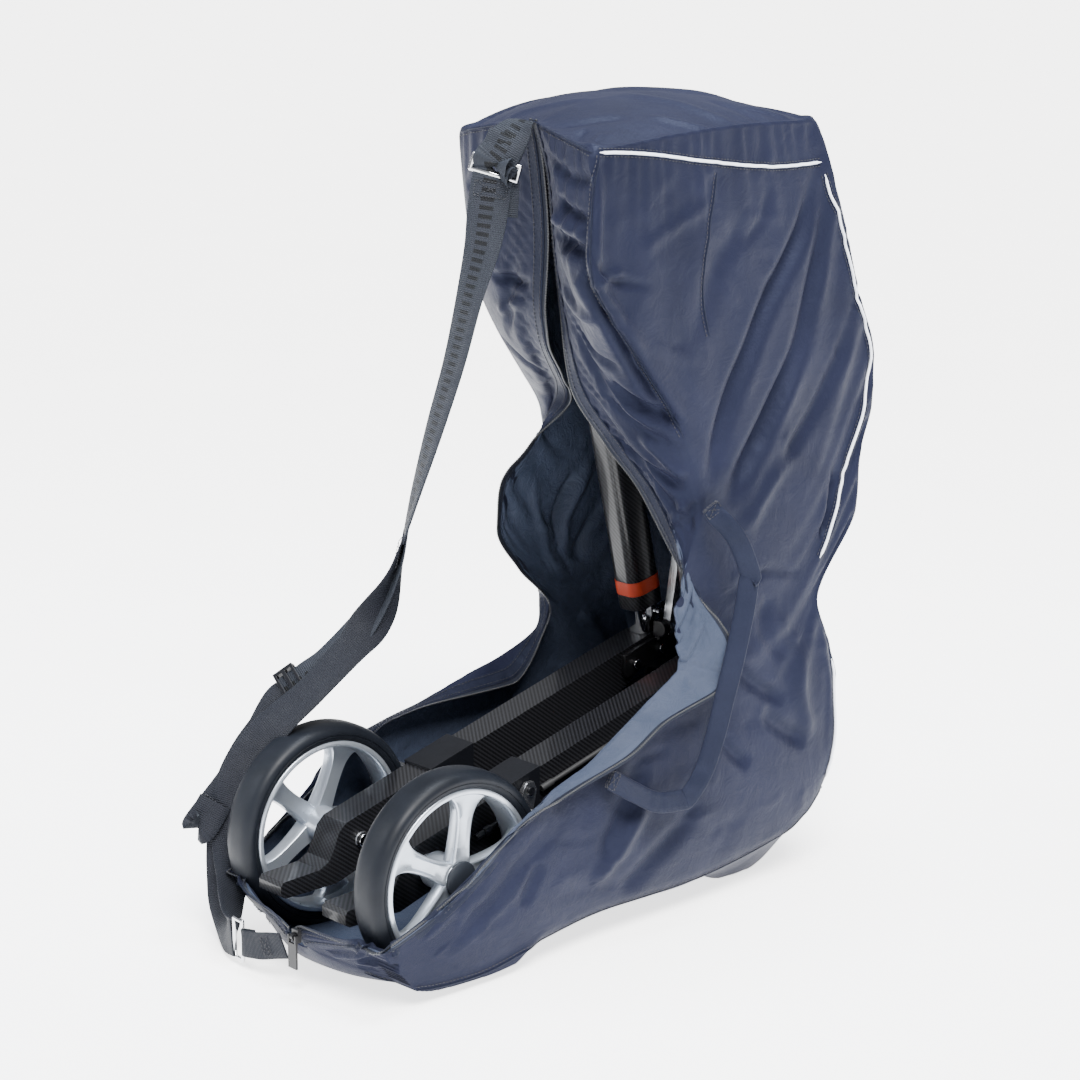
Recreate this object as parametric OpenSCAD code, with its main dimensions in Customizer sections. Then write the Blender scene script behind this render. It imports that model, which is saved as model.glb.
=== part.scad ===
/* [Rear wheels] */
// Diameter of each rear wheel
rear_d = 200; // [190:1:201]
// Width of each rear tyre
rear_w = 38; // [34:1:38]
// Distance between the middles of the two rear wheels, frame folded
track = 192; // [190:1:194]
// Distance of the rear axle from the middle of the bag's base
axle_back = 190; // [188:1:192]
// Radius of each rear axle
axle_r = 7.95; // [6:0.05:8.5]

/* [Castors] */
// Diameter of each front castor wheel
castor_d = 180; // [170:1:181]
// Width of each castor wheel
castor_w = 32; // [28:1:32]
// Distance from the swivel axis back to the castor's axle
castor_trail = 32; // [30:1:34]
// Distance of the swivel axes in front of the middle of the bag's base
swivel_y = 235; // [233:1:237]

/* [Frame] */
// Width of each carbon beam and post
tube_w = 34; // [32:1:34]
// Depth of each post, front to back
post_d = 40; // [38:1:42]
// Gap between the two beams of the folded frame
frame_gap = 62; // [62:1:64]
// Lean of the posts towards the toe of the bag, in degrees
post_lean = 12.9; // [12:0.1:13.5]
// Height of the top of each outer post
post_top = 640; // [620:5:650]
// Height of the middle of each grip
grip_z = 728; // [720:1:732]

/* [Bag] */
// Width of the bag inside its side panels
bag_w = 260; // [258:1:270]
// Thickness of the bag's side, back and flap panels
cloth = 2.5; // [2:0.1:3]
// Thickness of the bag's base
base_t = 2; // [1.5:0.1:2.2]
// Height of the crown of the bag's top
crown_z = 780; // [776:1:790]

/* [Straps] */
// Width of the shoulder strap
strap_w = 38; // [36:1:38]
// Thickness of the shoulder strap's webbing
strap_t = 1.8; // [1.5:0.1:2.5]
// Width of the grab handles
handle_w = 25; // [20:1:26]

/* [Hidden] */
$fn = 64;
gap = 0.3;
run = 0.05;
side_x = bag_w / 2;
wheel_x = track / 2;
rear_r = rear_d / 2;
axle_y = -axle_back;
axle_z = base_t + gap + rear_r;
rim_r = rear_r * 0.84;
castor_r = castor_d / 2;
castor_y = swivel_y - castor_trail;
castor_z = base_t + gap + castor_r;
beam_in = frame_gap / 2;
beam_out = beam_in + tube_w;
beam_x = (beam_in + beam_out) / 2;
slope = 0.2818;
beam_top_at_axle = axle_z + 25.6;
beam_depth = 52;
crown_low = castor_z + castor_r + 4;
crown_high = crown_low + 14;
stem_r = 8;
head_low = crown_high + 6;
head_high = head_low + 44;
foot_y = 187;
foot_z = 275;
pivot_z = 240;
rail_z = 505;
brace_reach = rail_z - pivot_z;
brace_half = 22;
brace_t = 8;
bar_a_y = 200;
bar_b_y = bar_a_y + brace_t + 1;
brace_w = 20;
pin_r = 4;
tube_r = 12.5;
shoe_pivot = [-72, 150];
lever_pivot = [136, grip_z - 28];

// Outline of the bag's back, from the heel up to the top
back_line = [
    [292.5, 64.5], [298, 85], [303, 140], [303, 185], [292, 240], [297, 290],
    [318, 360], [334, 430], [352, 500], [349, 540], [322, 600], [298, 650],
    [278, 700], [266, 726]
];
// Lower edge of the side panels, lifted where no wheel presses it down, from toe to heel
side_low = [[-232, 12], [-190, 10], [-81, 28], [91, 28], [190, 42], [250, 54], [280, 58], [292, 62]];
// Half the width of the flat base, and its height, under each point of side_low
base_half = [108, 124, 104, 85, 80, 76, 76, 90];
base_z = [0, 0, 0, 0, 0, 0, 16, 60];
// Last point of side_low whose base is flat
flat_end = 5;
// Top edge of each side panel, from the back to the front
top_right = [[252, 727], [177, 733.5], [103, 737], [28, 739]];
top_left = [[252, 751], [130, 749], [70, 745]];
// Front edge of the right side panel, from the top down to the toe
front_right = [
    [-47, 738], [-51, 700], [-55, 645], [-20, 597], [28, 543], [69, 494], [94, 442],
    [104, 400], [125, 350], [150, 300], [160, 250], [135, 195], [60, 165], [-20, 158],
    [-80, 148], [-130, 125], [-185, 92], [-240, 68], [-270, 60]
];
// Front edge of the left side panel, whose ankle opens outwards as an ear
front_left = [
    [9, 736], [17, 700], [25, 650], [38, 600], [62, 560], [95, 515], [136, 460],
    [110, 436], [74, 412], [57, 379], [60, 350], [81, 318], [122, 274], [126, 245],
    [115, 212], [60, 185], [-20, 180], [-90, 186], [-160, 138], [-200, 114], [-240, 92],
    [-270, 60]
];
// Free edge of the right flap, row for row with front_right
zip_right = [
    [18, -16, 752], [17, 2, 715], [18, 8, 655], [22, 14, 590], [28, 24, 520],
    [45, 54, 462], [66, 84, 410], [86, 112, 352], [102, 138, 300], [120, 152, 262],
    [126, 150, 222], [127, 122, 190], [127, 58, 171], [127, -22, 166], [127, -88, 158],
    [127, -136, 138], [127, -192, 102], [126, -246, 76], [124, -280, 66]
];
// Free edge of the left flap, row for row with the start of front_left
zip_left = [
    [6, -18, 754], [8, 2, 715], [8, 5, 655], [6, 4, 600], [2, 14, 560], [-20, 50, 520],
    [-90, 122, 470]
];
// Toe of the bag at the base and at its rim, from right to left
toe_low = [
    [side_x, -232], [120, -252], [75, -277], [28, -288], [-50, -292], [-112, -272],
    [-side_x, -235]
];
toe_low_z = [16, 10, 1, 0, 0, 5, 14];
toe_high = [
    [side_x, -272], [122, -289], [80, -300], [28, -305], [-50, -306], [-112, -295],
    [-side_x, -272]
];
toe_z = 60;

// Middle line of the shoulder strap's upper run and the way its width points
upper_run = [
    [[-8, -42.5, 711.5], [0.66, 0.7, -0.27]], [[-10.5, -48, 684], [0.72, 0.66, -0.2]],
    [[-13, -53, 650], [0.93, 0.3, -0.2]], [[-17, -65, 605], [1, -0.05, -0.15]],
    [[-22, -80, 545], [1, -0.2, -0.1]], [[-30, -97, 485], [0.97, -0.3, -0.05]],
    [[-39, -113, 425], [0.88, -0.48, 0]], [[-48, -124, 370], [0.78, -0.6, 0]],
    [[-68, -138, 322], [0.8, -0.4, -0.4]], [[-92, -166, 276], [0.78, -0.15, -0.55]],
    [[-110, -187, 243], [0.74, 0, -0.67]]
];
lower_run = [
    [[-128, -209, 211], [0.6, -0.4, 0.7]], [[-134, -226, 190], [0.4, -0.4, 0.8]],
    [[-138, -252, 158], [0.2, -0.5, 0.8]], [[-138, -284, 122], [0.1, -0.6, 0.8]],
    [[-137, -302, 92], [0, -0.9, 0.4]], [[-128, -314, 62], [-0.3, -0.9, 0.1]],
    [[-108, -320, 38], [-0.6, -0.6, 0.6]], [[-84, -322, 26], [-0.1, -0.2, 1]]
];
tail_run = [
    [[-145, -226, 202], [0.5, -0.4, 0.7]], [[-146, -250, 178], [0.3, -0.5, 0.8]],
    [[-147, -284, 142], [0.2, -0.6, 0.8]], [[-147, -306, 112], [0.2, -0.6, 0.8]]
];
// Middle line of the grab handle on each side of the ankle
grab_run = [
    [[4, 100, 402], [0, 0.9, 0.4]], [[9, 132, 388], [0, 0.5, 0.9]],
    [[10, 152, 352], [0, 1, 0.2]], [[9, 150, 312], [0, 1, -0.2]],
    [[8, 136, 268], [0, 1, -0.3]], [[8, 126, 221], [0, 1, -0.3]],
    [[9, 108, 175], [0, 1, -0.4]], [[9, 84, 128], [0, 0.8, -0.6]],
    [[8, 52, 118], [0, 0.1, -1]], [[6, 16, 140], [0, -0.6, -0.8]],
    [[4, 4, 178], [0, -1, -0.2]]
];

function beam_top(y) = beam_top_at_axle + slope * (y - axle_y);
function post_y(z) = foot_y - tan(post_lean) * (z - foot_z);
// Outline of a beam, from the tip of its tipping tongue over the top and back underneath
beam_line = concat(
    [[-285, 78], [-282, 82], [-240, 84], [-229, 90], [-222, 103], [-217, 115], [-209, beam_top(-209)]],
    [[232, beam_top(232)], [236, beam_top(232) - 6], [236, head_low], [182, head_low]],
    [[150, 184], [110, 163]],
    [[60, beam_top(60) - beam_depth], [-190, beam_top(-190) - beam_depth]],
    [[-222, 66], [-280, 66], [-285, 69]]
);
function unit(v) = v / norm(v);
function total(v) = v * [for (x = v) 1];
function flat(rows) = [for (r = rows) for (p = r) p];
function along(run, i) = unit(run[min(i + 1, len(run) - 1)][0] - run[max(i - 1, 0)][0]);
function face_of(run, i) = unit(cross(unit(run[i][1]), along(run, i)));
function squared(run, i) = unit(cross(along(run, i), face_of(run, i)));
function normal_2d(pts, i) =
    let (d = unit(pts[min(i + 1, len(pts) - 1)] - pts[max(i - 1, 0)])) [-d[1], d[0]];
function inset(pts, t) = [for (i = [0:len(pts) - 1]) pts[i] + t * normal_2d(pts, i)];
function turned(pts) = [for (i = [len(pts) - 1:-1:0]) pts[i]];
function top_front(x) = x > 0 ? -24 - 23 * x / side_x : -24 - 33 * x / side_x;
function top_drop(x, v) =
    pow(max(0, (x - 30) / (side_x - 30)), 2) * (26 + 24 * v)
    + pow(max(0, (-x - 70) / (side_x - 70)), 2) * 26
    + 14 * pow(1 - v, 3);
function top_point(x, v) = [x, top_front(x) + v * (252 - top_front(x)), crown_z - top_drop(x, v)];

// Right-hand shape as it is, or mirrored to the left
module on_side(s) {
    mirror([s < 0 ? 1 : 0, 0, 0]) children();
}

// A drawing in Y and Z, made solid from x0 to x1
module across(x0, x1) {
    translate([x0, 0, 0]) rotate([90, 0, 90]) linear_extrude(x1 - x0) children();
}

// A round rod between two points
module rod(a, b, r) {
    d = b - a;
    translate(a)
        rotate([0, acos(d[2] / norm(d)), atan2(d[1], d[0])])
            cylinder(r = r, h = norm(d));
}

// A rectangle with round corners
module rounded_rect(w, d, r) {
    square([w - 2 * r, d], center = true);
    square([w, d - 2 * r], center = true);
    for (x = [-1, 1], y = [-1, 1])
        translate([x * (w / 2 - r), y * (d / 2 - r)]) circle(r);
}

// A thin sheet between two matching grids of points
module sheet(front, back) {
    n = len(front);
    m = len(front[0]);
    k = n * m;
    quads = [
        for (i = [0:n - 2]) for (j = [0:m - 2])
            [i * m + j, i * m + j + 1, (i + 1) * m + j + 1, (i + 1) * m + j]
    ];
    split = flat([for (q = quads) [[q[0], q[1], q[2]], [q[0], q[2], q[3]]]]);
    backs = [for (t = split) [t[2] + k, t[1] + k, t[0] + k]];
    rim = concat(
        [for (j = [m - 1:-1:0]) j],
        [for (i = [1:n - 1]) i * m],
        [for (j = [1:m - 1]) (n - 1) * m + j],
        [for (i = [n - 2:-1:1]) i * m + m - 1]
    );
    walls = flat([for (i = [0:len(rim) - 1]) let (a = rim[i], b = rim[(i + 1) % len(rim)])
        [[a, b, b + k], [a, b + k, a + k]]]);
    points = concat(flat(front), flat(back));
    faces = concat(split, backs, walls);
    volume = total([for (f = faces) points[f[0]] * cross(points[f[1]], points[f[2]])]);
    polyhedron(points, volume > 0 ? [for (f = faces) turned(f)] : faces);
}

// Webbing of width w and thickness t that follows a run of stations
module webbing(run, w, t) {
    last = len(run) - 1;
    edge = [for (i = [0:last]) squared(run, i) * w / 2];
    front = [for (i = [0:last]) [run[i][0] - edge[i], run[i][0] + edge[i]]];
    back = [for (i = [0:last]) let (d = -t * face_of(run, i)) [front[i][0] + d, front[i][1] + d]];
    sheet(front, back);
}

module at_axle() {
    translate([wheel_x, axle_y, axle_z]) rotate([0, 90, 0]) children();
}

module at_post(z) {
    translate([beam_x, post_y(z), z]) rotate([post_lean, 0, 0]) children();
}

module bag_side(front, top) {
    heel = [for (i = [1:len(back_line) - 1]) back_line[i]];
    across(side_x, side_x + cloth) polygon(concat(front, side_low, heel, top));
}

module bag_side_right() {
    color("#3c4152") bag_side(front_right, top_right);
}

module bag_side_left() {
    color("#3c4152") mirror([1, 0, 0]) bag_side(front_left, top_left);
}

module bag_top() {
    xs = [-side_x, -115, -90, -45, 0, 45, 80, 105, 120, side_x];
    vs = [0, 0.08, 0.25, 0.6, 1];
    hem = [for (x = xs) [x, 265, 728]];
    front = concat([for (v = vs) [for (x = xs) top_point(x, v)]], [hem]);
    back = [for (r = front) [for (p = r) p - [0, 1, 1] * cloth]];
    color("#454b60") sheet(front, back);
}

module bag_back() {
    color("#3c4152") across(-side_x, side_x)
        polygon(concat(back_line, turned(inset(back_line, cloth))));
}

module base_sill() {
    seam = gap / 2;
    rows = concat(
        [[[78, -275, 0], [toe_low[1][0], toe_low[1][1], toe_low_z[1]]]],
        [
            for (i = [0:flat_end]) let (y = side_low[i][0])
                [[base_half[i] + seam, y, 0], [side_x, y, side_low[i][1]]]
        ]
    );
    sheet([for (r = rows) [for (p = r) p + [0, 0, base_t]]], rows);
}

module base_heel() {
    shares = [1, 0.4, -0.4, -1];
    rows = [
        for (i = [flat_end:len(side_low) - 1]) let (y = side_low[i][0] + (i == flat_end ? gap : 0))
            concat(
                [[side_x, y, side_low[i][1]]],
                [for (k = shares) [k * base_half[i], y, base_z[i]]],
                [[-side_x, y, side_low[i][1]]]
            )
    ];
    sheet([for (r = rows) [for (p = r) p + [0, p[1] > 260 ? -cloth : 0, base_t]]], rows);
}

module bag_base() {
    rim = [for (i = [0:flat_end]) [base_half[i] - gap / 2, side_low[i][0]]];
    rim_left = turned([for (p = rim) [-p[0], p[1]]]);
    color("#30333f") {
        linear_extrude(base_t) polygon(concat(
            [[-74, -274], [-50, -290], [28, -287], [72, -275]], rim, rim_left
        ));
        base_sill();
        mirror([1, 0, 0]) base_sill();
        base_heel();
    }
}

module bag_toe() {
    low = [for (i = [0:len(toe_low) - 1]) [toe_low[i][0], toe_low[i][1], toe_low_z[i] + base_t]];
    high = [for (p = toe_high) [p[0], p[1], toe_z]];
    mid = [for (i = [0:len(low) - 1]) (low[i] + 2 * high[i]) / 3 - [0, 0, 4]];
    front = [low, mid, high];
    back = [for (r = front) [for (p = r) p + [0, cloth, 0]]];
    color("#3c4152") sheet(front, back);
}

module flap(corner, edge, x, inward) {
    front = [for (i = [0:len(edge) - 1])
        let (c = [x, corner[i][0], corner[i][1]], bow = 0.1 * norm(edge[i] - c) * [0, -1, 0.3])
        [c, (c + edge[i]) / 2 + bow, edge[i]]];
    back = [for (r = front) [for (p = r) p + inward]];
    sheet(front, back);
}

module flap_right() {
    color("#444a5e") flap(front_right, zip_right, side_x, [0, cloth * 0.7, -cloth * 0.7]);
}

module flap_left() {
    color("#34384a") flap(front_left, zip_left, -side_x, [0, cloth, 0]);
}

module tape(corner, edge, x, lift) {
    front = [
        for (i = [0:len(edge) - 1]) let (d = unit(edge[i] - [x, corner[i][0], corner[i][1]]))
            [edge[i] + d * 0.5 + lift, edge[i] + d * 6 + lift]
    ];
    back = [for (r = front) [for (p = r) p - lift]];
    sheet(front, back);
}

module zip_tapes() {
    rim = [for (p = toe_high) [[p[0], p[1], toe_z + gap], [p[0], p[1], toe_z + 6]]];
    color("#1d1f27") {
        tape(front_right, zip_right, side_x, [0, -0.6, 0.6]);
        tape(front_left, zip_left, -side_x, [0, -0.8, 0]);
        sheet(rim, [for (r = rim) [for (p = r) p + [0, 0.9, 0]]]);
    }
}

module zip_slider() {
    color("#202228") translate([28, -312, toe_z - 4]) {
        cube([9, 4, 12], center = true);
        translate([0, -3.6, 0]) rotate([0, 90, 0]) difference() {
            cylinder(r = 3, h = 4, center = true);
            cylinder(r = 1.6, h = 5, center = true);
        }
    }
}

module zip_pull() {
    color("#202228") translate([28, -315.6, toe_z - 4]) {
        rotate([0, 90, 0]) cylinder(r = 1.55, h = 12, center = true);
        for (x = [-5, 5]) translate([x, -1, -2.5]) cube([2, 2.6, 8], center = true);
        translate([0, -1, -18]) cube([12, 2, 24], center = true);
    }
}

module piping() {
    back_edge = [
        [242, 704], [255, 683], [293, 642], [316, 581], [338, 529], [332, 459], [290, 405],
        [279, 366], [268, 332]
    ];
    heel_edge = [[286, 236], [294, 180], [294, 130], [288, 92]];
    cord = 2.6;
    out = side_x + cloth;
    color("#dfe4f2") for (s = [-1, 1]) {
        top_edge = s > 0 ? [[-47, 736], [240, 722]] : [[14, 736], [240, 742]];
        for (line = [top_edge, back_edge, heel_edge])
            on_side(s) across(out, out + cord) polygon(concat(line, turned(inset(line, cord))));
    }
}

module strap_tab_top() {
    run = [
        [[-2, -33, 760], [0.7, 0.7, -0.2]], [[-4, -39, 751], [0.7, 0.7, -0.2]],
        [[-7.3, -41, 734], [0.66, 0.7, -0.27]]
    ];
    color("#23252d") webbing(run, strap_w, strap_t);
}

module ring(w, h, r) {
    for (z = [-h / 2, h / 2]) translate([0, 0, z]) rotate([0, 90, 0]) cylinder(r = r, h = w, center = true);
    for (x = [-w / 2, w / 2]) translate([x, 0, 0]) cylinder(r = r, h = h, center = true);
    for (x = [-w / 2, w / 2], z = [-h / 2, h / 2]) translate([x, 0, z]) sphere(r);
}

module strap_ring_top() {
    color("silver") translate([-7.5, -41, 723]) rotate([0, 16, 47]) ring(strap_w + 6, 14, 2);
}

module strap_upper() {
    color("#23252d") webbing(upper_run, strap_w, strap_t);
}

module strap_lower() {
    color("#23252d") {
        webbing(lower_run, strap_w * 0.9, strap_t);
        webbing(tail_run, strap_w * 0.9, strap_t);
    }
}

module strap_glide() {
    color("#17181c") translate([-120, -199, 231]) rotate([-38, 42, 0]) difference() {
        cube([strap_w + 10, 9, 22], center = true);
        cube([strap_w + 3.5, 6.8, 30], center = true);
        for (z = [-5, 5]) translate([0, 0, z]) cube([strap_w + 3.5, 12, 6], center = true);
    }
}

module strap_ring_toe() {
    color("silver") translate([-62, -312, 26]) rotate([0, 90, -4]) ring(strap_w, 14, 2);
}

module strap_tab_toe() {
    run = [[[-50, -312, 26], [0, 0, 1]], [[-30, -311, 28], [0, 0, 1]], [[0, -311.5, 30], [0, 0, 1]]];
    color("#23252d") webbing(run, strap_w * 0.7, strap_t);
}

module grab_handles() {
    color("#3f4558") for (s = [-1, 1]) {
        run = [for (p = grab_run) [[s * (side_x + cloth + p[0][0]), p[0][1], p[0][2]], p[1]]];
        webbing(run, handle_w, 1.6);
    }
}

module beam(s) {
    color("#191a1d") on_side(s) difference() {
        union() {
            across(beam_in, beam_out) polygon(beam_line);
            translate([beam_x, swivel_y, head_low]) cylinder(r = 17, h = head_high - head_low);
        }
        translate([beam_x, swivel_y, head_low - 1])
            cylinder(r = stem_r + run, h = head_high - head_low + 2);
        translate([beam_in - 1, axle_y, axle_z]) rotate([0, 90, 0]) cylinder(r = axle_r, h = tube_w + 2);
    }
}

module beam_left() { beam(-1); }
module beam_right() { beam(1); }

module brake_sleeve(s) {
    front = -54;
    rear = -108;
    proud = 3;
    outline = function (grow) [
        [rear, beam_top(rear) + grow], [front, beam_top(front) + grow],
        [front, beam_top(front) - beam_depth - grow], [rear, beam_top(rear) - beam_depth - grow]
    ];
    core = [for (p = outline(0)) p + [p[0] == rear ? -1 : 1, p[0] == rear ? -slope : slope]];
    color("#101113") on_side(s) {
        difference() {
            across(beam_in - proud, beam_out + proud) polygon(outline(proud));
            across(beam_in, beam_out) polygon(core);
        }
        translate([beam_out + proud, shoe_pivot[0], shoe_pivot[1]]) rotate([0, 90, 0])
            cylinder(r = pin_r, h = 9);
        translate([beam_out + proud + 4, -120, beam_top(-120) - 24]) rotate([slope * 57.3, 0, 0]) {
            rotate([90, 0, 0]) cylinder(r = 3, h = 36, center = true);
            translate([0, -4, 0]) rotate([90, 0, 0]) cylinder(r = 4.5, h = 8, center = true);
        }
    }
}

module brake_sleeve_left() { brake_sleeve(-1); }
module brake_sleeve_right() { brake_sleeve(1); }

module post(s) {
    length = (post_top - foot_z + 12) / cos(post_lean);
    color("#191a1d") on_side(s) at_post(foot_z - 12) difference() {
        linear_extrude(length) rounded_rect(tube_w, post_d, 11);
        translate([0, 0, 120]) cylinder(r = tube_r + 0.2, h = length);
    }
}

module post_left() { post(-1); }
module post_right() { post(1); }

module band(s) {
    color("#e2421f") on_side(s) at_post(foot_z + 4) linear_extrude(15) difference() {
        rounded_rect(tube_w + 1.4, post_d + 1.4, 11.7);
        rounded_rect(tube_w, post_d, 11);
    }
}

module band_left() { band(-1); }
module band_right() { band(1); }

module fasteners(s) {
    inner = beam_in - 6;
    color("silver") on_side(s) {
        difference() {
            at_post(foot_z - 12) translate([0, 0, -36]) linear_extrude(36)
                rounded_rect(tube_w - 6, post_d - 8, 9);
            across(0, side_x) polygon(beam_line);
            across(0, side_x) polygon([[100, 100], [300, 100], [300, 215], [100, 205]]);
        }
        at_post(foot_z - 22) for (y = [-9, 9]) translate([-tube_w / 2 + 1, y, 0]) rotate([0, 90, 0])
            cylinder(r = 4, h = 3.8, center = true);
        for (y = [161, 197])
            translate([inner - 4, y, beam_top(y) - 18]) rotate([0, 90, 0]) cylinder(r = 5, h = 4);
        translate([beam_in - 6, axle_y, axle_z]) rotate([0, 90, 0]) cylinder(r = 7, h = 6);
    }
}

module fasteners_left() { fasteners(-1); }
module fasteners_right() { fasteners(1); }

module brace_bracket(s) {
    bar_y = s < 0 ? bar_a_y : bar_b_y;
    lug_y = s < 0 ? bar_a_y - brace_t - 1 : bar_b_y + brace_t + 1;
    low = function (y) beam_top(y) - 28 + max(0, y - 190) * 0.1;
    beam_flush = axle_y + (pivot_z - 6.5 - beam_top_at_axle) / slope;
    outline = [
        [146, low(146) + 6], [149, low(146) + 1], [158, low(158)], [238, low(238)],
        [238, pivot_z - 9.5], [beam_flush, pivot_z - 9.5], [146, beam_top(146) - 3]
    ];
    color("#0e0f11") on_side(s) {
        across(beam_in - 6, beam_in) polygon(outline);
        translate([0, lug_y, 0]) rotate([90, 0, 0]) translate([0, 0, -brace_t]) linear_extrude(brace_t) {
            translate([brace_half, pivot_z]) circle(8);
            translate([brace_half, pivot_z - 12]) square([beam_in - brace_half, 20]);
        }
        translate([brace_half, min(lug_y, bar_y), pivot_z]) rotate([-90, 0, 0])
            cylinder(r = pin_r, h = abs(lug_y - bar_y) + brace_t);
    }
}

module brace_bracket_left() { brace_bracket(-1); }
module brace_bracket_right() { brace_bracket(1); }

module axle(s) {
    color("#9a9ea6") on_side(s) {
        translate([beam_in, axle_y, axle_z]) rotate([0, 90, 0])
            cylinder(r = axle_r, h = wheel_x + 13 - beam_in);
        translate([beam_out, axle_y, axle_z]) rotate([0, 90, 0]) difference() {
            cylinder(r = 12, h = 5);
            translate([0, 0, -1]) cylinder(r = axle_r, h = 8);
        }
    }
}

module axle_left() { axle(-1); }
module axle_right() { axle(1); }

module ring_of(points) {
    rotate_extrude($fn = 96) polygon(points);
}

module tyre(s) {
    w = rear_w / 2;
    color("#23262e") on_side(s) at_axle() ring_of([
        [rim_r, -w + 4], [rear_r * 0.88, -w], [rear_r - 6, -w + 1], [rear_r - 2, -w + 6],
        [rear_r, -w + 13], [rear_r, w - 13], [rear_r - 2, w - 6], [rear_r - 6, w - 1],
        [rear_r * 0.88, w], [rim_r, w - 4]
    ]);
}

module tyre_left() { tyre(-1); }
module tyre_right() { tyre(1); }

// Five windows between the spokes of a wheel, from radius a to radius b
module windows(a, b, spoke) {
    for (i = [0:4]) rotate(i * 72 + 36) polygon([
        [a * cos(24), a * sin(24)], [b * cos(36 - spoke), b * sin(36 - spoke)],
        [b, b * 0.22], [b, -b * 0.22],
        [b * cos(36 - spoke), -b * sin(36 - spoke)], [a * cos(24), -a * sin(24)]
    ]);
}

module rim(s) {
    w = rear_w / 2;
    color("#c9ccd1") on_side(s) at_axle() difference() {
        union() {
            ring_of([
                [rim_r - 8, -w + 6], [rim_r, -w + 4], [rim_r, w - 4], [rim_r - 4, w - 2], [rim_r - 8, w - 5]
            ]);
            translate([0, 0, -w - 4]) cylinder(r = 17, h = 2 * w + 1);
            translate([0, 0, w - 20]) linear_extrude(13) difference() {
                circle(rim_r - 2);
                windows(24, rim_r - 6.5, 15);
            }
        }
        translate([0, 0, -w - 5]) cylinder(r = axle_r + run, h = 2 * w + 8);
    }
}

module rim_left() { rim(-1); }
module rim_right() { rim(1); }

module hub_cap(s) {
    w = rear_w / 2;
    color("#2a2c31") on_side(s) at_axle() translate([0, 0, w - 3]) difference() {
        ring_of([[0, 0], [17, 0], [17, 3.5], [15, 5], [0, 5]]);
        translate([0, 0, -1]) cylinder(r = axle_r + 1, h = 1.5);
    }
}

module hub_cap_left() { hub_cap(-1); }
module hub_cap_right() { hub_cap(1); }

module castor_fork(s) {
    half = castor_w / 2 + 0.5;
    blade = 4;
    color("#26282d") on_side(s) {
        for (x = [-half - blade, half]) translate([beam_x + x, 0, 0]) difference() {
            across(0, blade) polygon([
                [swivel_y + 15, crown_high], [swivel_y + 15, crown_low], [castor_y + 12, castor_z],
                [castor_y + 8, castor_z - 11], [castor_y - 8, castor_z - 11], [castor_y - 12, castor_z],
                [swivel_y - 18, crown_low], [swivel_y - 18, crown_high]
            ]);
            translate([-1, castor_y, castor_z]) rotate([0, 90, 0]) cylinder(r = 5, h = blade + 2);
        }
        translate([beam_x - half, swivel_y - 18, crown_low]) cube([2 * half, 33, crown_high - crown_low]);
        translate([beam_x, swivel_y, crown_high]) cylinder(r = stem_r, h = head_high - crown_high + 2);
        translate([beam_x, swivel_y, head_high + 0.5]) cylinder(r = stem_r + 4, h = 5);
        translate([beam_x - half - blade, castor_y, castor_z]) rotate([0, 90, 0])
            cylinder(r = 5, h = 2 * (half + blade));
    }
}

module castor_fork_left() { castor_fork(-1); }
module castor_fork_right() { castor_fork(1); }

module castor_wheel(s) {
    w = castor_w / 2;
    rim_c = castor_r * 0.84;
    color("#33363d") on_side(s) translate([beam_x, castor_y, castor_z]) rotate([0, 90, 0]) difference() {
        union() {
            ring_of([
                [rim_c - 7, -w + 4], [rim_c + 4, -w + 1], [castor_r - 6, -w], [castor_r - 1, -w + 7],
                [castor_r, -w + 12], [castor_r, w - 12], [castor_r - 1, w - 7], [castor_r - 6, w],
                [rim_c + 4, w - 1], [rim_c - 7, w - 4]
            ]);
            cylinder(r = 13, h = 2 * w - 1, center = true);
            linear_extrude(12, center = true) difference() {
                circle(rim_c - 3);
                windows(20, rim_c - 6, 12);
            }
        }
        cylinder(r = 5 + run, h = 2 * w + 4, center = true);
    }
}

module castor_wheel_left() { castor_wheel(-1); }
module castor_wheel_right() { castor_wheel(1); }

// Scissor bar from its pivot at one beam up to the seat rail at the other side
module brace(s, y, pinned) {
    reach = norm([2 * brace_half, brace_reach]);
    tilt = atan2(2 * brace_half, brace_reach);
    rail_x = brace_half;
    on_side(s) {
        translate([-brace_half, y, pivot_z]) rotate([0, tilt, 0]) difference() {
            union() {
                translate([-brace_w / 4, 0, 0]) cube([brace_w / 2, brace_t, reach]);
                rotate([-90, 0, 0]) cylinder(r = 8, h = brace_t);
                if (!pinned) translate([0, 0, reach / 2]) rotate([-90, 0, 0]) cylinder(r = 9, h = brace_t);
            }
            translate([0, -1, 0]) rotate([-90, 0, 0]) cylinder(r = pin_r + run, h = brace_t + 2);
            if (!pinned)
                translate([0, -1, reach / 2]) rotate([-90, 0, 0]) cylinder(r = pin_r + 0.5, h = brace_t + 2);
        }
        if (pinned) translate([0, y, pivot_z + brace_reach / 2]) rotate([-90, 0, 0])
            cylinder(r = pin_r, h = 2 * brace_t + 1);
        translate([rail_x, 124, rail_z]) rotate([-90, 0, 0]) cylinder(r = 7.5, h = 206);
    }
}

module brace_a() {
    color("#8d9198") brace(1, bar_a_y, true);
}

module brace_b() {
    color("#8d9198") brace(-1, bar_b_y, false);
}

module seat_sling() {
    low = rail_z + 8.5;
    color("#2b2e36") translate([0, 300, 0]) rotate([90, 0, 0]) linear_extrude(166)
        polygon([
            [brace_half + 4, low], [brace_half + 4, low + 2], [9, low + 80], [4, low + 88],
            [-4, low + 88], [-9, low + 80], [-brace_half - 4, low + 2], [-brace_half - 4, low],
            [-brace_half + 3, low], [-5, low + 76], [0, low + 80], [5, low + 76], [brace_half - 3, low]
        ]);
}

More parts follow.
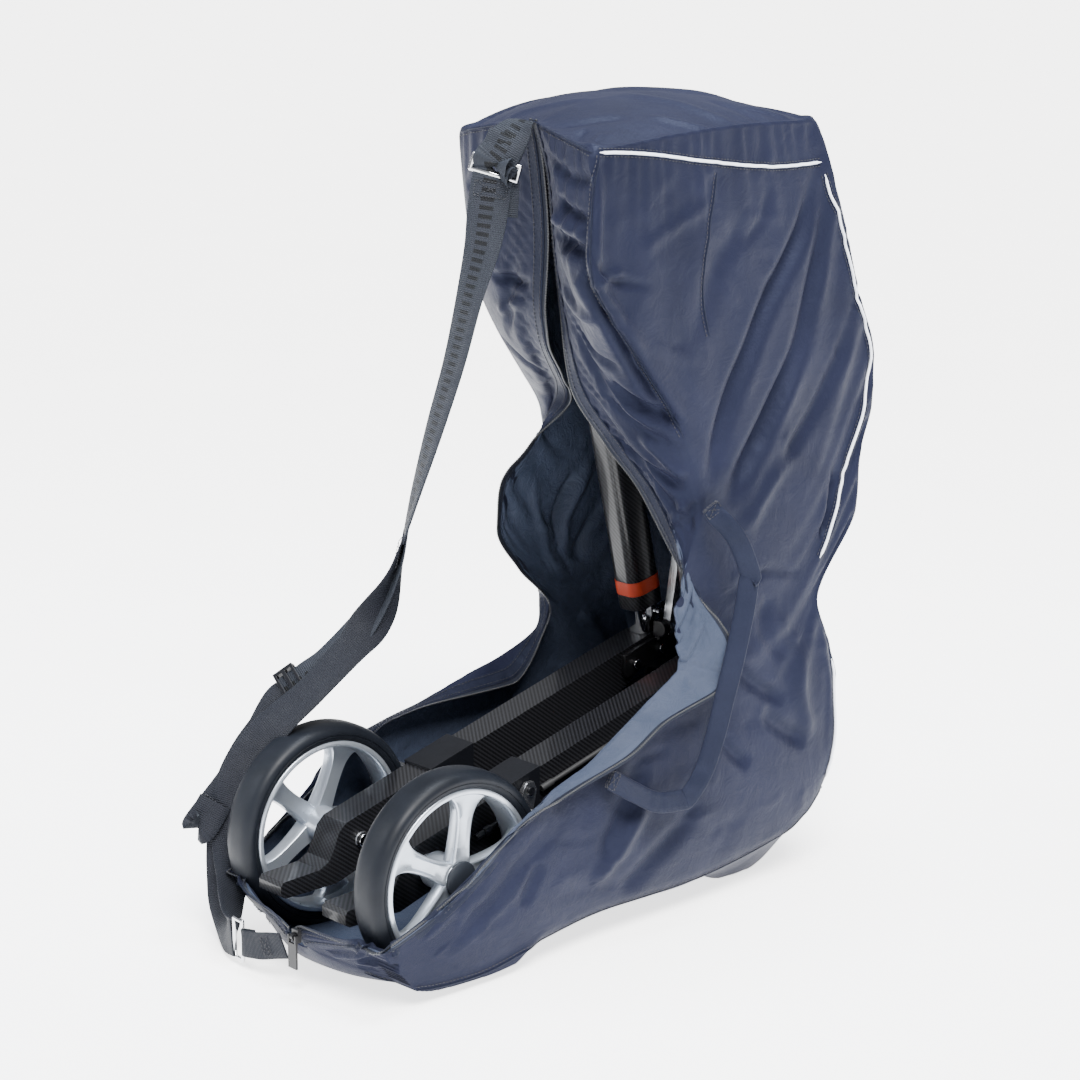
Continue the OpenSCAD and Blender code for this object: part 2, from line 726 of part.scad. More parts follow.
module backrest_band() {
    y0 = 135;
    y1 = 232;
    color("#2b2e36") translate([0, 0, 606]) linear_extrude(54) difference() {
        union() {
            translate([-beam_x, y0]) square([2 * beam_x, y1 - y0]);
            translate([0, y1]) circle(beam_x);
        }
        translate([-beam_x + 6, y0 - 1]) square([2 * beam_x - 12, y1 - y0 + 1.5]);
        translate([0, y1]) circle(beam_x - 6);
    }
}

module handle(s) {
    low = foot_z + 190;
    high = grip_z - 48;
    color("#7d8188") on_side(s) {
        rod([beam_x, post_y(low), low], [beam_x, post_y(high), high], tube_r);
        across(beam_x - 9, beam_x + 9) polygon([
            [82, grip_z - 56], [106, grip_z - 62], [142, grip_z - 42], [154, grip_z - 24],
            [155, grip_z - 4],
            [146, grip_z + 10], [126, grip_z + 10], [126, grip_z - 10], [138, grip_z - 16],
            [128, grip_z - 27], [88, grip_z - 44]
        ]);
        translate([beam_x, 24, grip_z]) rotate([-90, 0, 0]) cylinder(r = 9, h = 110);
        translate([beam_x, lever_pivot[0], lever_pivot[1]]) rotate([0, 90, 0]) cylinder(r = 2, h = 13);
    }
}

module handle_left() { handle(-1); }
module handle_right() { handle(1); }

module grip(s) {
    color("#1a1b1e") on_side(s) translate([beam_x, 126, grip_z]) rotate([90, 0, 0]) difference() {
        ring_of([
            [9, 0], [14, 0], [15, 4], [13.5, 30], [15, 60], [14, 96], [15.5, 101], [13, 105], [0, 106],
            [0, 103], [9, 103]
        ]);
        translate([0, 0, -1]) cylinder(r = 9, h = 103);
    }
}

module grip_left() { grip(-1); }
module grip_right() { grip(1); }

module brake_lever(s) {
    x0 = beam_x + 9 + gap;
    x1 = x0 + 3;
    color("#1f2024") on_side(s) difference() {
        union() {
            across(x0, x1) polygon([
                lever_pivot + [-6, 3], lever_pivot + [-2, 6], lever_pivot + [4, 5], lever_pivot + [6, -2],
                [104, grip_z - 41], [78, grip_z - 38], [78, grip_z - 30], [104, grip_z - 31]
            ]);
            across(beam_x - 6, x1) polygon([
                [80, grip_z - 38], [60, grip_z - 36], [36, grip_z - 34], [30, grip_z - 29],
                [60, grip_z - 29],
                [80, grip_z - 30]
            ]);
        }
        translate([x0 - 1, lever_pivot[0], lever_pivot[1]]) rotate([0, 90, 0]) cylinder(r = 2 + run, h = 5);
    }
}

module brake_lever_left() { brake_lever(-1); }
module brake_lever_right() { brake_lever(1); }

module brake_shoe(s) {
    inner = rear_r + 2.5;
    x0 = beam_out + 4;
    color("#8c9097") on_side(s) {
        difference() {
            across(x0, x0 + 5) polygon([
                shoe_pivot + [-8, 2], shoe_pivot + [-3, 8], shoe_pivot + [5, 8], shoe_pivot + [9, 0],
                [-71, 116], [-80, 112], [-86, 120], [-83, 136]
            ]);
            translate([x0 - 1, shoe_pivot[0], shoe_pivot[1]]) rotate([0, 90, 0])
                cylinder(r = pin_r + run, h = 8);
        }
        intersection() {
            at_axle() difference() {
                cylinder(r = inner + 9, h = rear_w - 8, center = true);
                cylinder(r = inner, h = rear_w, center = true);
            }
            across(x0, wheel_x + 20) polygon([
                [axle_y, axle_z], [axle_y + 200 * cos(8), axle_z + 200 * sin(8)],
                [axle_y + 200 * cos(19), axle_z + 200 * sin(19)]
            ]);
        }
        across(x0, wheel_x + 12) polygon([[-86, 120], [-86, 132], [-76, 132], [-76, 120]]);
    }
}

module brake_shoe_left() { brake_shoe(-1); }
module brake_shoe_right() { brake_shoe(1); }

module brake_cable(s) {
    x = beam_out + 3.7;
    a = -53;
    b = 168;
    color("#0d0e10") on_side(s) {
        rod([x, a, beam_top(a) - 20], [x, b, beam_top(b) - 20], 2.5);
        rod([x, a, beam_top(a) - 20], [x, a + 14, beam_top(a + 14) - 20], 3.4);
    }
}

module brake_cable_left() { brake_cable(-1); }
module brake_cable_right() { brake_cable(1); }

bag_side_right();
bag_side_left();
bag_top();
bag_back();
bag_base();
bag_toe();
flap_right();
flap_left();
zip_tapes();
zip_slider();
zip_pull();
piping();
strap_tab_top();
strap_ring_top();
strap_upper();
strap_glide();
strap_lower();
strap_ring_toe();
strap_tab_toe();
grab_handles();
beam_left();
beam_right();
brake_sleeve_left();
brake_sleeve_right();
post_left();
post_right();
band_left();
band_right();
fasteners_left();
fasteners_right();
brace_bracket_left();
brace_bracket_right();
axle_left();
axle_right();
tyre_left();
tyre_right();
rim_left();
rim_right();
hub_cap_left();
hub_cap_right();
castor_fork_left();
castor_fork_right();
castor_wheel_left();
castor_wheel_right();
brace_a();
brace_b();
seat_sling();
backrest_band();
handle_left();
handle_right();
grip_left();
grip_right();
brake_lever_left();
brake_lever_right();
brake_shoe_left();
brake_shoe_right();
brake_cable_left();
brake_cable_right();
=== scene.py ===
"""Boot-shaped travel bag, unzipped over a folded carbon walker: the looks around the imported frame."""
import math

import bpy
import numpy as np
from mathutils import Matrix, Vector


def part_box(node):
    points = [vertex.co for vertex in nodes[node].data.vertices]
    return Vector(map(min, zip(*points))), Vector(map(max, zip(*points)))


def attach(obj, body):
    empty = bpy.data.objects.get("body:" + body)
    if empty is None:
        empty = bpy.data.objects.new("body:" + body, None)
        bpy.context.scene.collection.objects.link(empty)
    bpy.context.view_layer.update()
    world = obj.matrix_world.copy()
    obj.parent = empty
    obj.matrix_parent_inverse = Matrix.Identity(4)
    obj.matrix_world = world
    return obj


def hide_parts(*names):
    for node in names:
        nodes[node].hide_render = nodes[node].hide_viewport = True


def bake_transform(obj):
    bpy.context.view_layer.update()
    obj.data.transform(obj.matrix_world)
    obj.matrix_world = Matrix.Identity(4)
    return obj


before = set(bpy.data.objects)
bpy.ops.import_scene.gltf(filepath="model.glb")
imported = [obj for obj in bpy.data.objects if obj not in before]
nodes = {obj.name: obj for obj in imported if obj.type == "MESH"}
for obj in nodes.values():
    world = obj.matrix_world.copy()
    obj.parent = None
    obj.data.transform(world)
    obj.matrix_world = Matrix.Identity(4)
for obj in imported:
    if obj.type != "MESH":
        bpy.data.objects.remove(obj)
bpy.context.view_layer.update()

MM = 0.001
STEPS = 8  # rows of the coarse shell between two stations
PANEL_COLUMNS = (20, 44, 20, 20, 44, 20)  # flap, side, back, back, side, flap
CROWN_RISE = 11
FOLD_DEPTH = 1.6  # how much deeper the shell's folds are pressed than listed
CLOTH = 1.1 * MM
SEED = 7


# ---------------------------------------------------------------- camera

def make_camera():
    camera = bpy.data.objects.new("camera", bpy.data.cameras.new("camera"))
    bpy.context.scene.collection.objects.link(camera)
    camera.location = (1.804, -1.617, 0.931)
    camera.rotation_mode = "QUATERNION"
    camera.rotation_quaternion = Vector((-0.7238, 0.6517, -0.2267)).to_track_quat("-Z", "Y")
    camera.data.sensor_width = 36
    camera.data.lens = 86.67
    bpy.context.scene.camera = camera


# ---------------------------------------------------------------- materials

class Shader:
    """A material's node tree, with short ways to add and join nodes."""

    def __init__(self, name, **values):
        self.material = bpy.data.materials.new(name)
        self.material.use_nodes = True
        self.tree = self.material.node_tree
        self.surface = self.tree.nodes["Principled BSDF"]
        for key, value in values.items():
            self.surface.inputs[key.replace("_", " ")].default_value = value
        self.coords = self.tree.nodes.new("ShaderNodeTexCoord")

    def join(self, source, target):
        self.tree.links.new(source, target)

    def feed(self, node, socket, value):
        if isinstance(value, bpy.types.NodeSocket):
            self.join(value, node.inputs[socket])
        else:
            node.inputs[socket].default_value = value

    def math(self, kind, a, b=0.0, c=0.0):
        node = self.tree.nodes.new("ShaderNodeMath")
        node.operation = kind
        for i, value in enumerate((a, b, c)):
            self.feed(node, i, value)
        return node.outputs[0]

    def noise(self, scale, detail=3.0, rough=0.55, distort=0.0):
        node = self.tree.nodes.new("ShaderNodeTexNoise")
        self.join(self.coords.outputs["Object"], node.inputs["Vector"])
        values = {"Scale": scale, "Detail": detail, "Roughness": rough, "Distortion": distort}
        for key, value in values.items():
            node.inputs[key].default_value = value
        return node.outputs["Fac"]

    def axes(self, where="Object"):
        node = self.tree.nodes.new("ShaderNodeSeparateXYZ")
        self.join(self.coords.outputs[where], node.inputs[0])
        return node.outputs

    def ramp(self, value, stops):
        node = self.tree.nodes.new("ShaderNodeValToRGB")
        self.join(value, node.inputs["Fac"])
        elements = node.color_ramp.elements
        while len(elements) < len(stops):
            elements.new(0.5)
        for element, (place, colour) in zip(elements, stops):
            element.position = place
            element.color = (*colour, 1) if hasattr(colour, "__len__") else (colour, colour, colour, 1)
        return node.outputs["Color"]

    def blend(self, share, a, b, kind="MIX"):
        node = self.tree.nodes.new("ShaderNodeMix")
        node.data_type = "RGBA"
        node.blend_type = kind
        self.feed(node, "Factor", share)
        for socket, value in (("A", a), ("B", b)):
            target = [s for s in node.inputs if s.name == socket and s.type == "RGBA"][0]
            if isinstance(value, bpy.types.NodeSocket):
                self.join(value, target)
            else:
                target.default_value = (*value, 1)
        return [s for s in node.outputs if s.type == "RGBA"][0]

    def colour(self, value):
        self.join(value, self.surface.inputs["Base Color"])
        return self

    def rough(self, value, low, high):
        self.join(self.ramp(value, [(0.25, low), (0.75, high)]), self.surface.inputs["Roughness"])
        return self

    def bump(self, height, distance, strength=1.0):
        """Adds one layer of bump over those made before it."""
        node = self.tree.nodes.new("ShaderNodeBump")
        node.inputs["Strength"].default_value = strength
        node.inputs["Distance"].default_value = distance
        self.join(height, node.inputs["Height"])
        socket = self.surface.inputs["Normal"]
        if socket.is_linked:
            self.join(socket.links[0].from_socket, node.inputs["Normal"])
        self.join(node.outputs["Normal"], socket)
        return self

    def ribs(self, axis, pitch):
        """Height of round ribs across an axis, one every pitch metres."""
        return self.math("SINE", self.math("MULTIPLY", axis, 2 * math.pi / pitch))

    def weave(self, u, v, thread):
        return self.math("MULTIPLY", self.ribs(u, thread), self.ribs(v, thread))


def nylon(name, dark, light, roughness):
    made = Shader(name, Specular_IOR_Level=0.1, Specular_Tint=(0.6, 0.7, 1, 1), Sheen_Weight=0.02,
                  Sheen_Roughness=0.45, Sheen_Tint=(0.62, 0.68, 0.9, 1))
    u, v, _ = made.axes("UV")
    cloudy = made.noise(7, 5, 0.6, 0.6)
    made.colour(made.ramp(cloudy, [(0.3, dark), (0.7, light)]))
    made.rough(made.noise(26, 4, 0.6), roughness - 0.06, roughness + 0.08)
    made.bump(made.noise(38, 5, 0.62, 1.4), 2.2 * MM, 0.5)
    made.bump(made.noise(150, 3, 0.6, 0.8), 0.35 * MM, 0.45)
    made.bump(made.weave(u, v, 1.1 * MM), 0.06 * MM, 0.7)
    return made.material


def lining(name):
    made = Shader(name, Specular_IOR_Level=0.14, Sheen_Weight=0.02, Sheen_Tint=(0.7, 0.8, 1, 1))
    u, v, _ = made.axes("UV")
    cloudy = made.noise(9, 5, 0.6, 0.6)
    made.colour(made.ramp(cloudy, [(0.3, (0.024, 0.032, 0.054)), (0.72, (0.04, 0.05, 0.08))]))
    made.rough(made.noise(30, 4), 0.42, 0.6)
    made.bump(made.noise(46, 6, 0.65, 1.8), 3.0 * MM, 0.6)
    made.bump(made.weave(u, v, 1.0 * MM), 0.06 * MM, 0.6)
    return made.material


def webbing(name, base, ladder):
    """Ribbed strap: UV runs across the width from 0 to 1 and along it in metres."""
    made = Shader(name, Specular_IOR_Level=0.13, Sheen_Weight=0.03, Sheen_Tint=(0.75, 0.85, 1, 1))
    u, v, _ = made.axes("UV")
    ribs = made.ribs(v, 1.9 * MM)
    # the troughs between the ribs are painted darker, painted shade in the grooves over the strap's own
    # colour
    lit = made.math("MULTIPLY_ADD", ribs, 0.5, 0.5)
    rib_shaded_colour = made.ramp(lit, [(0.0, [c * 0.55 for c in base]), (1.0, base)])
    colour = made.blend(made.noise(30, 4), rib_shaded_colour, [c * 0.7 for c in base])
    if ladder:
        beat = made.math("FRACT", made.math("DIVIDE", v, 8.2 * MM))
        dash = made.math("LESS_THAN", beat, 0.48)
        middle = made.math("LESS_THAN", made.math("ABSOLUTE", made.math("SUBTRACT", u, 0.46)), 0.17)
        colour = made.blend(made.math("MULTIPLY", dash, middle), colour, [c * 0.16 for c in base])
    made.colour(colour)
    made.rough(made.noise(60, 3), 0.5, 0.72)
    made.bump(made.weave(made.math("MULTIPLY", u, 36 * MM), v, 2.4 * MM), 0.22 * MM, 0.8)
    made.bump(ribs, 0.28 * MM, 0.9)
    return made.material


def carbon(name):
    """Clear-coated 2/2 twill, its warp cells painted lighter as a painted highlight of the weave's sheen."""
    made = Shader(name, Coat_Weight=0.3, Coat_Roughness=0.08, Coat_IOR=1.4, Specular_IOR_Level=0.2)
    x, y, z = made.axes()
    cell = 1.5 * MM
    across = made.math("FLOOR", made.math("DIVIDE", made.math("ADD", x, z), cell))
    along = made.math("FLOOR", made.math("DIVIDE", made.math("MULTIPLY_ADD", z, 0.35, y), cell))
    step = made.math("FLOORED_MODULO", made.math("ADD", across, along), 4)
    warp_highlight_cells = made.math("LESS_THAN", step, 1.5)
    # the warp cells' lighter colour is a painted highlight, standing in for the sheen along the twill's tows
    made.colour(made.blend(warp_highlight_cells, (0.002, 0.002, 0.0025), (0.013, 0.0135, 0.016)))
    made.join(made.ramp(warp_highlight_cells, [(0, 0.38), (1, 0.3)]), made.surface.inputs["Roughness"])
    made.bump(made.noise(60, 2), 0.25 * MM, 0.25)
    return made.material


def plastic(name, base, low, high, grain=900, depth=0.05, **values):
    made = Shader(name, **values)
    mottled = made.noise(22, 4, 0.6)
    made.colour(made.ramp(mottled, [(0.3, [c * 0.8 for c in base]), (0.7, base)]))
    made.rough(made.noise(70, 4, 0.6, 0.4), low, high)
    made.bump(made.noise(grain, 2), depth * MM, 0.5)
    return made.material


def tyre_rubber(name):
    made = Shader(name, Specular_IOR_Level=0.14)
    dusty = made.noise(16, 6, 0.65, 0.4)
    clean, worn, dust = (0.004, 0.005, 0.0075), (0.006, 0.0075, 0.011), (0.011, 0.0125, 0.016)
    made.colour(made.ramp(dusty, [(0.35, clean), (0.62, worn), (0.8, dust)]))
    made.rough(made.noise(45, 5, 0.6), 0.4, 0.54)
    made.bump(made.noise(500, 3), 0.06 * MM, 0.5)
    made.bump(made.noise(12, 3), 0.5 * MM, 0.2)
    return made.material


def silver(name, base, low, high, metallic=0.85):
    made = Shader(name, Metallic=metallic, Coat_Weight=0.35, Coat_Roughness=0.12)
    worn = made.noise(14, 6, 0.65, 0.5)
    made.colour(made.ramp(worn, [(0.3, [c * 0.82 for c in base]), (0.7, base)]))
    made.rough(made.noise(90, 4, 0.6, 0.3), low, high)
    made.bump(made.noise(700, 2), 0.04 * MM, 0.4)
    return made.material


def brushed(name, base, axis):
    made = Shader(name, Metallic=1.0)
    stretch = made.tree.nodes.new("ShaderNodeMapping")
    stretch.inputs["Scale"].default_value = [40 if i == axis else 1200 for i in range(3)]
    made.join(made.coords.outputs["Object"], stretch.inputs["Vector"])
    lines = made.tree.nodes.new("ShaderNodeTexNoise")
    lines.inputs["Scale"].default_value = 1
    made.join(stretch.outputs[0], lines.inputs["Vector"])
    made.colour(made.ramp(made.noise(20, 4), [(0.3, [c * 0.85 for c in base]), (0.7, base)]))
    made.rough(lines.outputs["Fac"], 0.22, 0.42)
    made.bump(lines.outputs["Fac"], 0.03 * MM, 0.5)
    return made.material


def reflective(name, base, shine):
    """Glass-bead tape: tiny bright cells in a coloured film."""
    made = Shader(name, Specular_IOR_Level=shine)
    cells = made.tree.nodes.new("ShaderNodeTexVoronoi")
    cells.inputs["Scale"].default_value = 1500
    made.join(made.coords.outputs["Object"], cells.inputs["Vector"])
    made.colour(made.ramp(made.noise(60, 4), [(0.25, [c * 0.85 for c in base]), (0.75, base)]))
    made.rough(cells.outputs["Distance"], 0.3, 0.5)
    made.bump(cells.outputs["Distance"], 0.05 * MM, 0.5)
    return made.material


NYLON = nylon("nylon", (0.0062, 0.007, 0.0156), (0.0096, 0.0108, 0.0236), 0.46)
NYLON_BASE = nylon("nylon_base", (0.0062, 0.0072, 0.014), (0.009, 0.0104, 0.02), 0.46)
LINING = lining("lining")
WEBBING = webbing("webbing", (0.019, 0.0225, 0.031), True)
WEBBING_PLAIN = webbing("webbing_plain", (0.0095, 0.011, 0.0165), False)
HANDLE = nylon("handle_fabric", (0.0072, 0.0084, 0.0165), (0.0108, 0.0124, 0.024), 0.44)
TAPE = nylon("zip_tape", (0.01, 0.011, 0.016), (0.015, 0.017, 0.024), 0.55)
THREAD = plastic("thread", (0.011, 0.012, 0.018), 0.45, 0.6, 2500, 0.1)
COIL = plastic("zip_coil", (0.008, 0.009, 0.012), 0.28, 0.4)
PIPING = reflective("piping", (0.82, 0.85, 0.93), 0.6)
BAND = reflective("orange_band", (0.3, 0.03, 0.01), 0.25)
CARBON = carbon("carbon_twill")
SLEEVE = plastic("black_sleeve", (0.005, 0.0055, 0.0075), 0.32, 0.46, 900, 0.05, Specular_IOR_Level=0.14)
BLACK_METAL = plastic("black_metal", (0.006, 0.006, 0.007), 0.26, 0.4, 1200, 0.04, Specular_IOR_Level=0.25)
RUBBER = plastic("soft_rubber", (0.01, 0.0105, 0.012), 0.55, 0.72, 700, 0.12)
TYRE = tyre_rubber("tyre")
RIM = silver("rim_lacquer", (0.44, 0.485, 0.55), 0.26, 0.38, 0.75)
CHROME = silver("chrome", (0.6, 0.61, 0.63), 0.05, 0.14, 1.0)
ALUMINIUM = brushed("aluminium", (0.5, 0.51, 0.53), 2)
STEEL = brushed("steel", (0.66, 0.67, 0.69), 0)
CAP = plastic("hub_cap", (0.012, 0.0145, 0.02), 0.42, 0.58, 800, 0.06, Specular_IOR_Level=0.2)
SEAT = nylon("seat_fabric", (0.008, 0.009, 0.011), (0.012, 0.013, 0.016), 0.6)


# ---------------------------------------------------------------- mesh helpers

def place(name, mesh, body, materials, slot, replaced=()):
    """Links a finished mesh as a piece that rides on a body."""
    for material in materials:
        mesh.materials.append(material)
    piece = bpy.data.objects.new(name, mesh)
    bpy.context.scene.collection.objects.link(piece)
    if body:
        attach(piece, body)
    if replaced:
        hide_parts(*replaced)
    return piece


def mesh_of(name, points, faces, uv=None):
    """A mesh from points in millimetres; uv has one pair for each point."""
    mesh = bpy.data.meshes.new(name)
    mesh.from_pydata((np.asarray(points, float) * MM).tolist(), [], [tuple(map(int, f)) for f in faces])
    mesh.polygons.foreach_set("use_smooth", [True] * len(mesh.polygons))
    if uv is not None:
        corners = np.zeros(len(mesh.loops), np.int64)
        mesh.loops.foreach_get("vertex_index", corners)
        layer = mesh.uv_layers.new(name="UVMap")
        layer.data.foreach_set("uv", np.asarray(uv, np.float32)[corners].ravel())
    mesh.update()
    return mesh


def sharpen(mesh, degrees=38):
    mesh.set_sharp_from_angle(angle=math.radians(degrees))
    return mesh


def join_parts(parts):
    """(points, faces, uv) lists put together as one."""
    points, faces, uvs, start = [], [], [], 0
    for p, f, uv in parts:
        p = np.asarray(p, float)
        points.append(p)
        faces += [tuple(i + start for i in face) for face in f]
        uvs.append(np.zeros((len(p), 2)) if uv is None else np.asarray(uv, float))
        start += len(p)
    return np.vstack(points), faces, np.vstack(uvs)


def grid_faces(rows, columns, wrap=False):
    faces = []
    for r in range(rows - 1):
        for c in range(columns if wrap else columns - 1):
            a = r * columns + c
            b = r * columns + (c + 1) % columns
            faces.append((a, a + columns, b + columns, b))
    return faces


def through(points, steps, firm=False):
    """A curve through points, steps samples to a span. A firm one never overshoots."""
    p = np.asarray(points, float)
    d = np.diff(p, axis=0)
    slope = np.zeros_like(p)
    slope[0], slope[-1] = d[0], d[-1]
    if firm:
        product = d[:-1] * d[1:]
        total = np.where(np.abs(d[:-1] + d[1:]) < 1e-9, 1, d[:-1] + d[1:])
        slope[1:-1] = np.where(product > 0, 2 * product / total, 0)
    else:
        slope[1:-1] = (d[:-1] + d[1:]) / 2
    t = (np.arange(steps) / steps)[:, None]
    spans = [
        p[i] * (2 * t**3 - 3 * t**2 + 1) + slope[i] * (t**3 - 2 * t**2 + t)
        + p[i + 1] * (3 * t**2 - 2 * t**3) + slope[i + 1] * (t**3 - t**2)
        for i in range(len(d))
    ]
    return np.vstack(spans + [p[-1:]])


def unit(v):
    v = np.asarray(v, float)
    return v / np.maximum(np.linalg.norm(v, axis=-1, keepdims=True), 1e-12)


def lengths(points):
    return np.concatenate([[0], np.cumsum(np.linalg.norm(np.diff(points, axis=0), axis=1))])


def between(spots, run, values):
    """Values at spots along a run, from those at its points."""
    return np.stack([np.interp(spots, run, values[:, k]) for k in range(3)], 1)


def resampled(points, pitch):
    """The same line with points every pitch millimetres."""
    run = lengths(points)
    return between(np.linspace(0, run[-1], max(2, int(run[-1] / pitch) + 1)), run, points)


def taper(count, over, least):
    """Shares that rise from least to 1 over the first points of a line, and fall again over its last."""
    steps = np.arange(count)
    return np.clip(np.minimum(steps, steps[::-1]) / over, least, 1)


def closed_tube(rows, columns):
    """Faces of rings joined into a tube, with both its ends closed."""
    last = (rows - 1) * columns
    ends = [tuple(range(columns)), tuple(last + i for i in range(columns - 1, -1, -1))]
    return grid_faces(rows, columns, wrap=True) + ends


def points_of(mesh):
    flat = np.zeros(len(mesh.vertices) * 3)
    mesh.vertices.foreach_get("co", flat)
    return flat.reshape(-1, 3)


def frames_along(line, guide):
    """Tangent, side and face directions along a line; guide says roughly where the face looks."""
    tangent = unit(np.gradient(line, axis=0))
    side = unit(np.cross(tangent, guide))
    return tangent, side, np.cross(side, tangent)


def tube(line, radius, sides=8, guide=(0.3, 0.2, 1)):
    _, side, face = frames_along(line, np.broadcast_to(guide, line.shape))
    turn = np.linspace(0, 2 * math.pi, sides, endpoint=False)
    radius = np.broadcast_to(radius, len(line))
    rings = [
        line[i] + radius[i] * (np.cos(turn)[:, None] * side[i] + np.sin(turn)[:, None] * face[i])
        for i in range(len(line))
    ]
    run = lengths(line) * MM
    uv = [(i / sides, run[r]) for r in range(len(line)) for i in range(sides)]
    return np.vstack(rings), closed_tube(len(line), sides), uv


def band(line, across, width, thickness):
    """A flat strap along a line: across says which way its width points at each of its points."""
    tangent = unit(np.gradient(line, axis=0))
    face = unit(np.cross(tangent, across))
    across = np.cross(face, tangent)
    w, t = width / 2, thickness / 2
    front = [(-w, 0.3), (-w + 0.5, 1), (-w / 2, 1), (0, 1), (w / 2, 1), (w - 0.5, 1), (w, 0.3)]
    section = front + [(a, -b) for a, b in reversed(front)]
    rings = [[p + side * a + out * b * t for a, b in section] for p, side, out in zip(line, across, face)]
    run = lengths(line) * MM
    uv = [((a + w) / width, run[i]) for i in range(len(line)) for a, _ in section]
    return np.vstack(rings), closed_tube(len(line), len(section)), uv


def lathe(profile, segments=128):
    """A closed profile of (radius, x) turned about the X axis."""
    turn = np.linspace(0, 2 * math.pi, segments, endpoint=False)
    points = [(x, r * math.cos(a), r * math.sin(a)) for a in turn for r, x in profile]
    n = len(profile)
    faces = []
    for s in range(segments):
        for i in range(n):
            a, b = s * n + i, s * n + (i + 1) % n
            c, d = ((s + 1) % segments) * n + (i + 1) % n, ((s + 1) % segments) * n + i
            faces.append((a, b, c, d))
    return points, faces, None


def mirrored(points, faces):
    return np.asarray(points) * (-1, 1, 1), [tuple(reversed(f)) for f in faces]


def stitches(line, normal, pitch=4.6, length=3.1, radius=0.42):
    """Short raised threads along a line, a little proud of the surface."""
    spots = resampled(line, pitch)
    run = lengths(line)
    where = lengths(spots)
    up = unit(between(where / where[-1] * run[-1], run, normal))
    parts = []
    for a, b, n in zip(spots, spots[1:], up):
        d = unit(b - a) * length
        dash = np.array([a, a + d * 0.2 + n * radius, a + d * 0.8 + n * radius, a + d])
        parts.append(tube(dash, [radius * 0.4, radius, radius, radius * 0.4], 5, n))
    return join_parts(parts)


def polish(node, material, edge, segments=2, angle=32):
    """Rounds a carried-over part's edges and gives it its material."""
    part = nodes[node]
    if "custom_normal" in part.data.attributes:
        part.data.attributes.remove(part.data.attributes["custom_normal"])
    part.data.polygons.foreach_set("use_smooth", [True] * len(part.data.polygons))
    weld = part.modifiers.new("weld", "WELD")
    weld.merge_threshold = 0.01 * MM
    flat = part.modifiers.new("flat", "DECIMATE")
    flat.decimate_type = "DISSOLVE"
    flat.angle_limit = math.radians(1)
    if edge:
        bevel = part.modifiers.new("edges", "BEVEL")
        bevel.width = edge * MM
        bevel.segments = segments
        bevel.limit_method = "ANGLE"
        bevel.angle_limit = math.radians(angle)
        bevel.harden_normals = True
        bevel.use_clamp_overlap = True
    for i in range(max(1, len(part.material_slots))):
        if part.material_slots:
            part.material_slots[i].material = material
        else:
            part.data.materials.append(material)
    return part


# ---------------------------------------------------------------- wheels

def tyre_profile(inner, outer, half):
    """Round-shouldered tread with a thin groove in each sidewall."""
    groove = inner + (outer - inner) * 0.34
    side = [
        (inner - 1.5, half - 4.5), (inner + 0.5, half - 2.2), (inner + 2.4, half - 0.9),
        (groove - 0.7, half - 0.3), (groove - 0.35, half - 0.9), (groove + 0.35, half - 0.9),
        (groove + 0.7, half - 0.2)
    ]
    arc = [
        (groove + 1.5 + (outer - groove - 1.5) * math.sin(a), half * math.cos(a) ** 0.62)
        for a in np.linspace(0.12, math.pi / 2 - 0.02, 12)
    ]
    near = side + arc
    return near + [(r, -x) for r, x in reversed(near)]


def rim_profile(radius, half):
    near = [
        (radius - 7.6, half - 11), (radius - 6.8, half - 8.5), (radius - 6.4, half - 6),
        (radius - 5.6, half - 2.6), (radius - 4.6, half - 1.6), (radius - 1.6, half - 1.4),
        (radius - 0.4, half - 2.2), (radius + 0.4, half - 4.5)
    ]
    return near + [(r, -x) for r, x in reversed(near)]


def spoke(angle, hub, radius, front, back):
    """One broad spoke with a shallow channel in its face, which flares into hub and rim."""
    rings, reach = [], np.linspace(hub - 4, radius - 5, 22)
    for r in reach:
        t = (r - reach[0]) / (reach[-1] - reach[0])
        half = 8.2 + 1.5 * t + 15 * t**7 + 5 * (1 - t) ** 5
        f = front + 3.5 * (1 - t) ** 2
        dish = 2.6 * min(1, 4 * t) * (1 - 0.5 * t**6)
        section = [
            (-half, f - 3), (-half + 1.2, f - 0.5), (-half + 2.6, f), (-half * 0.5, f - dish),
            (0, f - dish * 1.25), (half * 0.5, f - dish), (half - 2.6, f), (half - 1.2, f - 0.5),
            (half, f - 3), (half * 0.82, back + 1), (half * 0.74, back), (0, back), (-half * 0.74, back),
            (-half * 0.82, back + 1)
        ]
        rings.append([(x, r * math.cos(angle + s / r), r * math.sin(angle + s / r)) for s, x in section])
    n = len(rings[0])
    caps = [tuple(range(n - 1, -1, -1)), tuple((len(rings) - 1) * n + i for i in range(n))]
    faces = [tuple(reversed(f)) for f in grid_faces(len(rings), n, wrap=True)] + caps
    return np.vstack(rings), faces, None


def hub_profile(radius, low, high):
    return [(5, low), (radius - 3, low), (radius - 1, low + 1), (radius, low + 3), (radius, high - 4),
            (radius - 1, high - 1.4), (radius - 2.4, high), (5, high)]


def disc_profile(radius, low, high, crown):
    """Domed button, with its middle on the axis."""
    turn = np.linspace(0, math.pi / 2, 8)
    arc = [(radius * math.cos(a), high - crown + crown * math.sin(a)) for a in turn]
    return [(0.01, low), (radius - 0.6, low), (radius, low + 0.6)] + arc[:-1] + [(0.01, high)]


def centre_of(node):
    low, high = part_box(node)
    return np.array((low + high) / 2) / MM, np.array(high - low) / MM


